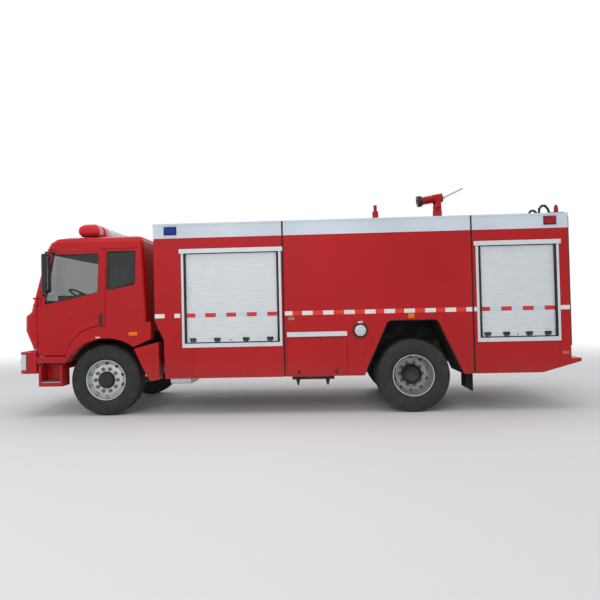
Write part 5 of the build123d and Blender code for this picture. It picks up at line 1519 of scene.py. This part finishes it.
@dataclass
class LightBar:
    """Roof light bar: a domed lens, red at both ends and clear between, on a dark base."""

    x: float = 3.125
    half: float = 0.860
    rows: tuple[tuple[float, float, float], ...] = (
        (2.720, 0.286, 0.020), (2.785, 0.328, 0.002), (2.860, 0.288, 0.025), (2.903, 0.188, 0.090),
    )
    red_from: float = 0.42
    ribs: tuple[float, ...] = (0.14, 0.42, 0.64)

    def build(self) -> None:
        """Build the lens, the base and the feet."""
        low = self.rows[0]
        Bench.alone()
        bpy.ops.mesh.primitive_plane_add(size=1, location=(self.x, 0, low[0]))
        lens = bpy.context.active_object
        lens.scale = (low[1], 2 * (self.half - low[2]), 1)
        bpy.ops.object.transform_apply()
        with Bench.editing(lens):
            bpy.ops.mesh.select_all(action="SELECT")
            for below, above in zip(self.rows, self.rows[1:]):
                rise = (0, 0, above[0] - below[0])
                bpy.ops.mesh.extrude_region_move(TRANSFORM_OT_translate={"value": rise})
                bpy.ops.transform.resize(
                    value=(above[1] / below[1], (self.half - above[2]) / (self.half - below[2]), 1)
                )
            bpy.ops.mesh.select_all(action="SELECT")
            bpy.ops.mesh.normals_make_consistent(inside=False)
            bpy.ops.mesh.bevel(offset=0.030, segments=4, affect="EDGES")
            for y in self.ribs:
                for side in Side:
                    for shift in (-0.004, 0.004):
                        bpy.ops.mesh.select_all(action="SELECT")
                        bpy.ops.mesh.bisect(plane_co=(0, side.value * y + shift, 0), plane_no=(0, 1, 0))
        Bench.settle(lens, 40)
        Bench.pick(lens, lambda face: any(abs(abs(face.center.y) - y) < 0.003 for y in self.ribs))
        with Bench.editing(lens):
            bpy.ops.mesh.extrude_region_shrink_fatten(TRANSFORM_OT_shrink_fatten={"value": -0.004})
        lens.name = "light_bar_lens"
        fit(lens, Finish.CLEAR_LENS, "cab", "clear_lens", "light_bar")
        two_tone(lens, Finish.BAR_LENS, lambda spot: abs(spot.y) > self.red_from)
        base = [Bench.slab("base", (self.x - 0.130, -0.815, 2.706), (self.x + 0.130, 0.815, 2.724), 0.006)]
        for y in (-0.56, 0.56):
            foot = Bench.slab(
                "foot", (self.x - 0.058, y - 0.056, 2.642), (self.x + 0.058, y + 0.056, 2.712), 0.008
            )
            Bench.taper(foot, lambda face: face.normal.z > 0.9, (1, 0.7, 1))
            base.append(foot)
        fit(Bench.joined("light_bar_base", base), Finish.PLASTIC, "cab", "black_plastic")


@dataclass
class Lamps:
    """Lamps and reflectors: corners, tail, beacons, side lamps, markers and headlamps."""

    skin: float = 1.2503
    tail: float = -3.9415
    bowls: tuple[tuple[float, float], ...] = ((0.890, 4.0475), (1.065, 4.0340))
    bowl_z: float = 0.815

    def build(self) -> None:
        """Build every lamp that does not ride on the cab."""
        self._corners()
        self._rear()
        self._work_lamps()
        self._markers()
        self._headlamp_edges()
        self._headlamp_bowls()

    def _corners(self) -> None:
        """Blue lamps at the front of the fascia, each in a dark bezel."""
        lens = self._lens((1.651, 2.632), (1.821, 2.736), 0.028, 0.012)
        self._pair("blue_lens", [lens], Finish.BLUE_LENS, "blue_lens", "blue_lamps")
        bezels = [self._lens((1.642, 2.623), (1.830, 2.745), 0.011, 0.003),
                  self._lens((-3.785, 2.623), (-3.605, 2.747), 0.011, 0.003)]
        self._pair("corner_bezels", bezels, Finish.PLASTIC, "black_plastic")

    def _lens(
        self, low: tuple[float, float], high: tuple[float, float], proud: float, bevel: float
    ) -> bpy.types.Object:
        """A flat lens on the left side with a stepped face.

        Args:
            low: Lower corner, in X and Z.
            high: Upper corner, in X and Z.
            proud: How far the lens stands out.
            bevel: Width of its bevelled edges.

        Returns:
            The lens.
        """
        front = (high[0], self.skin + proud, high[1])
        lens = Bench.slab("lens", (low[0], self.skin, low[1]), front, bevel, 3)
        Bench.sink(lens, lambda face: face.normal.y > 0.9 and face.area > 0.0004, min(0.006, bevel), -0.002)
        return lens

    @staticmethod
    def _pair(
        name: str, left: Sequence[bpy.types.Object], finish: Finish, slot: str, *stands_for: str
    ) -> None:
        """Fit left-hand shapes and their mirror images as one piece of the body.

        Args:
            name: The piece's name.
            left: The shapes on the left.
            finish: Its finish.
            slot: Passed on to fit.
            *stands_for: CAD nodes that it replaces.
        """
        fit(Bench.doubled(name, Bench.joined(name, left)), finish, "truck", slot, *stands_for)

    def _rear(self) -> None:
        """Red corner lamps, round upper lamps, tail lamp clusters and beacons."""
        corner = self._lens((-3.775, 2.633), (-3.615, 2.737), 0.028, 0.012)
        upper = Bench.turned(
            "upper", [(0.0, 0.046), (0.020, 0.046), (0.030, 0.040), (0.038, 0.022), (0.0405, 0.0)],
            (self.tail, 1.130, 2.498), (-1, 0, 0), 32,
        )
        beacon = Bench.turned(
            "beacon",
            [(0.0, 0.030), (0.206, 0.030), (0.210, 0.040), (0.232, 0.040), (0.238, 0.032), (0.290, 0.030),
             (0.318, 0.025), (0.338, 0.015), (0.346, 0.0)],
            (-3.831, 1.150, 2.578), (0, 0, 1), 28,
        )
        red = [self._tail_lens(0.806, 0.922), corner, upper, beacon]
        self._pair("red_lenses", red, Finish.RED_LENS, "red_lens", "red_lamps")
        self._pair("turn_lenses", [self._tail_lens(0.926, 1.038)], Finish.AMBER_LENS, "clear_lens")
        self._pair("reverse_lenses", [self._tail_lens(1.042, 1.154)], Finish.CLEAR_LENS, "clear_lens")
        case = Bench.slab("case", (self.tail - 0.016, 0.800, 0.790), (self.tail, 1.160, 0.890), 0.004)
        self._pair("tail_lamp_cases", [case], Finish.PLASTIC, "black_plastic")

    def _tail_lens(self, inner: float, outer: float) -> bpy.types.Object:
        """One lens of a tail lamp cluster, between two places across the truck."""
        low, high = (self.tail - 0.039, inner, 0.797), (self.tail - 0.014, outer, 0.883)
        return Bench.slab("lens", low, high, 0.010, 3)

    def _work_lamps(self) -> None:
        """Black ring and domed glass of the round lamps ahead of the rear wheels."""
        centre = (-0.988, self.skin, 1.184)
        ring = Bench.turned(
            "work_lamp_ring_left",
            [(-0.004, 0.106), (0.010, 0.107), (0.024, 0.105), (0.031, 0.098), (0.032, 0.084), (0.026, 0.079),
             (0.010, 0.079), (-0.004, 0.106)],
            centre, (0, 1, 0), 56,
        )
        both_sides(ring, Finish.SEAL, "black_plastic")
        dome = Bench.turned(
            "work_lamp_dome_left",
            [(0.0285, 0.0795), (0.034, 0.070), (0.0385, 0.052), (0.0415, 0.028), (0.0425, 0.0)],
            centre, (0, 1, 0), 48,
        )
        both_sides(dome, Finish.CLEAR_LENS, "clear_lens")

    def _markers(self) -> None:
        """Amber lamps over the rear arch, and small reflectors."""
        amber = Bench.slab("arch_lamp_left", (-1.762, 1.2550, 1.340), (-1.667, 1.2745, 1.416), 0.018, 4)
        both_sides(amber, Finish.AMBER_LENS, "clear_lens")
        white = self._lens((-1.022, 1.287), (-0.956, 1.315), 0.008, 0.003)
        white.name = "side_marker_left"
        both_sides(white, Finish.TAPE_WHITE, "white_fascia")
        buff = [self._lens((-3.907, 0.793), (-3.817, 0.839), 0.008, 0.003),
                self._lens((-0.050, 1.352), (0.040, 1.402), 0.008, 0.003)]
        both_sides(Bench.joined("reflectors_left", buff), Finish.BUFF_LENS, "clear_lens")

    def _headlamp_bowls(self) -> None:
        """Two round bowls in each headlamp, each in a dark ring."""
        rings, domes = [], []
        for y, face in self.bowls:
            rings.append(Bench.turned(
                "ring",
                [(-0.010, 0.086), (0.004, 0.086), (0.007, 0.081), (0.004, 0.074), (-0.010, 0.074),
                 (-0.010, 0.086)],
                (face, y, self.bowl_z), (1, 0, 0), 40,
            ))
            domes.append(Bench.turned(
                "dome", [(-0.006, 0.0735), (0.003, 0.066), (0.008, 0.046), (0.010, 0.022), (0.0105, 0.0)],
                (face, y, self.bowl_z), (1, 0, 0), 36,
            ))
        self._pair("headlamp_rings", rings, Finish.PLASTIC, "black_plastic")
        self._pair("headlamp_domes", domes, Finish.MIRROR, "clear_lens")

    def _headlamp_edges(self) -> None:
        """Dark edge where each headlamp meets the bumper's side."""
        edge = Bench.slab("headlamp_edge_left", (3.888, 1.2330, 0.694), (3.906, 1.2480, 0.936), 0.005, 3)
        both_sides(edge, Finish.PLASTIC, "black_plastic")


@dataclass
class LowerTrim:
    """Black inner walls of the rear wheel houses, and the flap latches."""

    axle_x: float = REAR_AXLE_X
    wall_y: float = 0.5260
    wall_half: float = 0.36
    latches: tuple[float, float] = (-0.098, -0.631)

    def build(self) -> None:
        """Build the walls and the latches on both sides."""
        wall = Bench.slab(
            "arch_wall_left", (self.axle_x - self.wall_half, self.wall_y, 1.010),
            (self.axle_x + self.wall_half, self.wall_y + 0.008, 1.318), 0.002,
        )
        Bench.taper(wall, lambda face: face.center.z < 1.02, (1.42, 1, 1))
        both_sides(wall, Finish.LINER, "liner_rubber")
        pieces = []
        for x in self.latches:
            pieces += [
                Bench.slab("latch", (x - 0.022, 1.2495, 0.585), (x + 0.022, 1.2585, 0.629), 0.004, 3),
                Bench.slab("thumb", (x - 0.009, 1.2560, 0.578), (x + 0.009, 1.2655, 0.618), 0.003, 2),
            ]
        both_sides(Bench.joined("flap_latches_left", pieces), Finish.PLASTIC, "black_plastic", "{side}_flap")


@dataclass
class RoofTrim:
    """Tread plates on the deck, the monitor's nozzle ring and the bolts of its riser."""

    deck: float = 2.5772
    half: float = 1.195
    plates: tuple[tuple[float, float], ...] = ((-3.890, -2.612), (-2.572, 0.083), (0.123, 1.935))
    drop: float = 8.0
    monitor: Point = (-2.395, 0.0, 3.290)
    bolt_ring: float = 0.094
    bolts: int = 8

    def build(self) -> None:
        """Build the deck plates and the monitor's trim."""
        plates = [
            Bench.slab("plate", (x0, -self.half, self.deck), (x1, self.half, self.deck + 0.004), 0.0015, 1)
            for x0, x1 in self.plates
        ]
        fit(Bench.joined("deck_plates", plates), Finish.DECK, "truck", "shutter_aluminium")
        angle = math.radians(self.drop)
        aim = (math.cos(angle), 0, -math.sin(angle))
        nozzle = Bench.turned(
            "monitor_nozzle",
            [(0.258, 0.062), (0.262, 0.0865), (0.276, 0.0905), (0.318, 0.0905), (0.333, 0.0865),
             (0.334, 0.070), (0.322, 0.050), (0.296, 0.0435), (0.258, 0.0435), (0.258, 0.062)],
            self.monitor, aim, 40,
        )
        fit(nozzle, Finish.PLASTIC, "monitor_gun", "black_plastic")
        self._bolts()

    def _bolts(self) -> None:
        """Ring of bolt heads on the riser's flange."""
        bolts = [
            Bench.turned(
                "bolt", [(0.0, 0.011), (0.009, 0.011), (0.012, 0.008), (0.012, 0.0)],
                (self.monitor[0] + self.bolt_ring * math.cos(turn), self.bolt_ring * math.sin(turn), 2.601),
                (0, 0, 1), 6,
            )
            for turn in (2 * math.pi * i / self.bolts for i in range(self.bolts))
        ]
        fit(Bench.joined("riser_bolts", bolts), Finish.STEEL, "truck", "bright_steel")


@dataclass
class Studio:
    """Floor, lights, world and the camera of the photograph."""

    floor_half: float = 60.0
    fade: tuple[float, float] = (7.0, 16.0)
    camera_place: Point = (-0.446, 8.998, 1.503)
    yaw: float = 2.30
    pitch: float = 1.00
    roll: float = -1.30
    lens: float = 32.35

    def build(self) -> None:
        """Set up the whole studio."""
        self._floor()
        self._world()
        self._lights()
        self._camera()
        bpy.context.scene.view_settings.view_transform = "Standard"

    def _seen(self, graph: Graph) -> Signal:
        """Share of a ray that shows the background: camera, glossy or transmission."""
        kinds = ("Camera", "Glossy", "Transmission")
        rays = [graph.node("ShaderNodeLightPath", output=f"Is {kind} Ray") for kind in kinds]
        return rays[0] + rays[1] + rays[2]

    def _floor(self) -> None:
        """A pale floor that fades into the white background."""
        Bench.alone()
        bpy.ops.mesh.primitive_plane_add(size=2 * self.floor_half)
        floor = bpy.context.active_object
        floor.name = "studio_floor"
        graph = Graph("floor_pale")
        place = graph.node("ShaderNodeVectorMath", {"operation": "LENGTH"}, {0: graph.place()}, "Value")
        pale = graph.mix(graph.noise(30, 4) * 0.3, srgb(222, 222, 222), srgb(208, 208, 207))
        diffuse = graph.node("ShaderNodeBsdfPrincipled", None, {"Base Color": pale, "Roughness": 0.7})
        white = graph.node("ShaderNodeEmission", None, {"Color": (1, 1, 1, 1), "Strength": 1.0})
        seen = graph.node("ShaderNodeMath", {"operation": "MINIMUM"}, {0: self._seen(graph), 1: 1.0})
        share = place.between(*self.fade) * seen
        both = graph.node("ShaderNodeMixShader", None, {0: share, 1: diffuse, 2: white})
        graph.tree.links.new(both.socket, graph.output.inputs["Surface"])
        floor.data.materials.append(graph.material)

    def _world(self) -> None:
        """White behind the truck, and a softer grey that lights it."""
        world = bpy.data.worlds.new("studio_world")
        world.use_nodes = True
        tree = world.node_tree
        tree.nodes.clear()
        rays = tree.nodes.new("ShaderNodeLightPath")
        soft = tree.nodes.new("ShaderNodeBackground")
        soft.inputs["Color"].default_value = (0.93, 0.96, 1.0, 1)
        soft.inputs["Strength"].default_value = 0.5
        white = tree.nodes.new("ShaderNodeBackground")
        white.inputs["Strength"].default_value = 1.0
        white.inputs["Color"].default_value = (1, 1, 1, 1)
        both = tree.nodes.new("ShaderNodeMixShader")
        out = tree.nodes.new("ShaderNodeOutputWorld")
        seen = rays.outputs["Is Camera Ray"]
        for kind in ("Is Glossy Ray", "Is Transmission Ray"):
            either = tree.nodes.new("ShaderNodeMath")
            either.operation = "MAXIMUM"
            tree.links.new(seen, either.inputs[0])
            tree.links.new(rays.outputs[kind], either.inputs[1])
            seen = either.outputs[0]
        tree.links.new(seen, both.inputs[0])
        tree.links.new(soft.outputs[0], both.inputs[1])
        tree.links.new(white.outputs[0], both.inputs[2])
        tree.links.new(both.outputs[0], out.inputs["Surface"])
        bpy.context.scene.world = world

    def _lights(self) -> None:
        """Soft boxes overhead, on both sides, ahead and behind; mirrors show only the background."""
        for name, place, aim, size, power in (
            ("overhead", (0.5, 1.5, 9.0), (0, 0, 0), 9.0, 390.0),
            ("near_side", (2.5, 12.0, 6.0), (0, 0, 1.4), 7.0, 400.0),
            ("far_side", (-2.0, -12.0, 6.0), (0, 0, 1.4), 7.0, 320.0),
            ("nose", (13.0, 2.0, 5.0), (3.0, 0, 1.4), 5.0, 180.0),
            ("tail", (-13.0, 2.0, 5.0), (-3.0, 0, 1.4), 5.0, 180.0),
        ):
            lamp = bpy.data.lights.new(name, "AREA")
            lamp.size = size
            lamp.energy = power
            holder = bpy.data.objects.new(name, lamp)
            holder.location = place
            holder.visible_glossy = False
            holder.rotation_euler = (Vector(aim) - Vector(place)).to_track_quat("-Z", "Y").to_euler()
            bpy.context.collection.objects.link(holder)

    def _camera(self) -> None:
        """The camera at the photograph's place, turn, tilt and roll."""
        yaw, pitch, roll = (math.radians(angle) for angle in (self.yaw, self.pitch, self.roll))
        ahead = Vector((math.sin(yaw), -math.cos(yaw), 0))
        right = Vector((-math.cos(yaw), -math.sin(yaw), 0))
        above = Vector((0, 0, 1))
        look = math.cos(pitch) * ahead + math.sin(pitch) * above
        rise = -math.sin(pitch) * ahead + math.cos(pitch) * above
        side = math.cos(roll) * right + math.sin(roll) * rise
        top = -math.sin(roll) * right + math.cos(roll) * rise
        data = bpy.data.cameras.new("photo_camera")
        data.sensor_width = 36.0
        data.lens = self.lens
        camera = bpy.data.objects.new("photo_camera", data)
        turn = Matrix((side, top, -look)).transposed().to_4x4()
        camera.matrix_world = Matrix.Translation(self.camera_place) @ turn
        bpy.context.collection.objects.link(camera)
        bpy.context.scene.camera = camera


def main() -> None:
    """Load the frame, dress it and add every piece."""
    logging.basicConfig(level=logging.INFO, format="%(name)s: %(message)s")
    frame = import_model()
    dress_nodes(frame["nodes"])
    assemblies = (
        Wheels(), MarkerStripes(), ShutterTrim(), ModuleSeals(), CabTrim(frame["nodes"]), DoorFittings(),
        LightBar(), Lamps(), LowerTrim(), RoofTrim(), CabInside(), Seats(),
    )
    for assembly in assemblies:
        assembly.build()
    Studio().build()


if __name__ == "__main__":
    main()
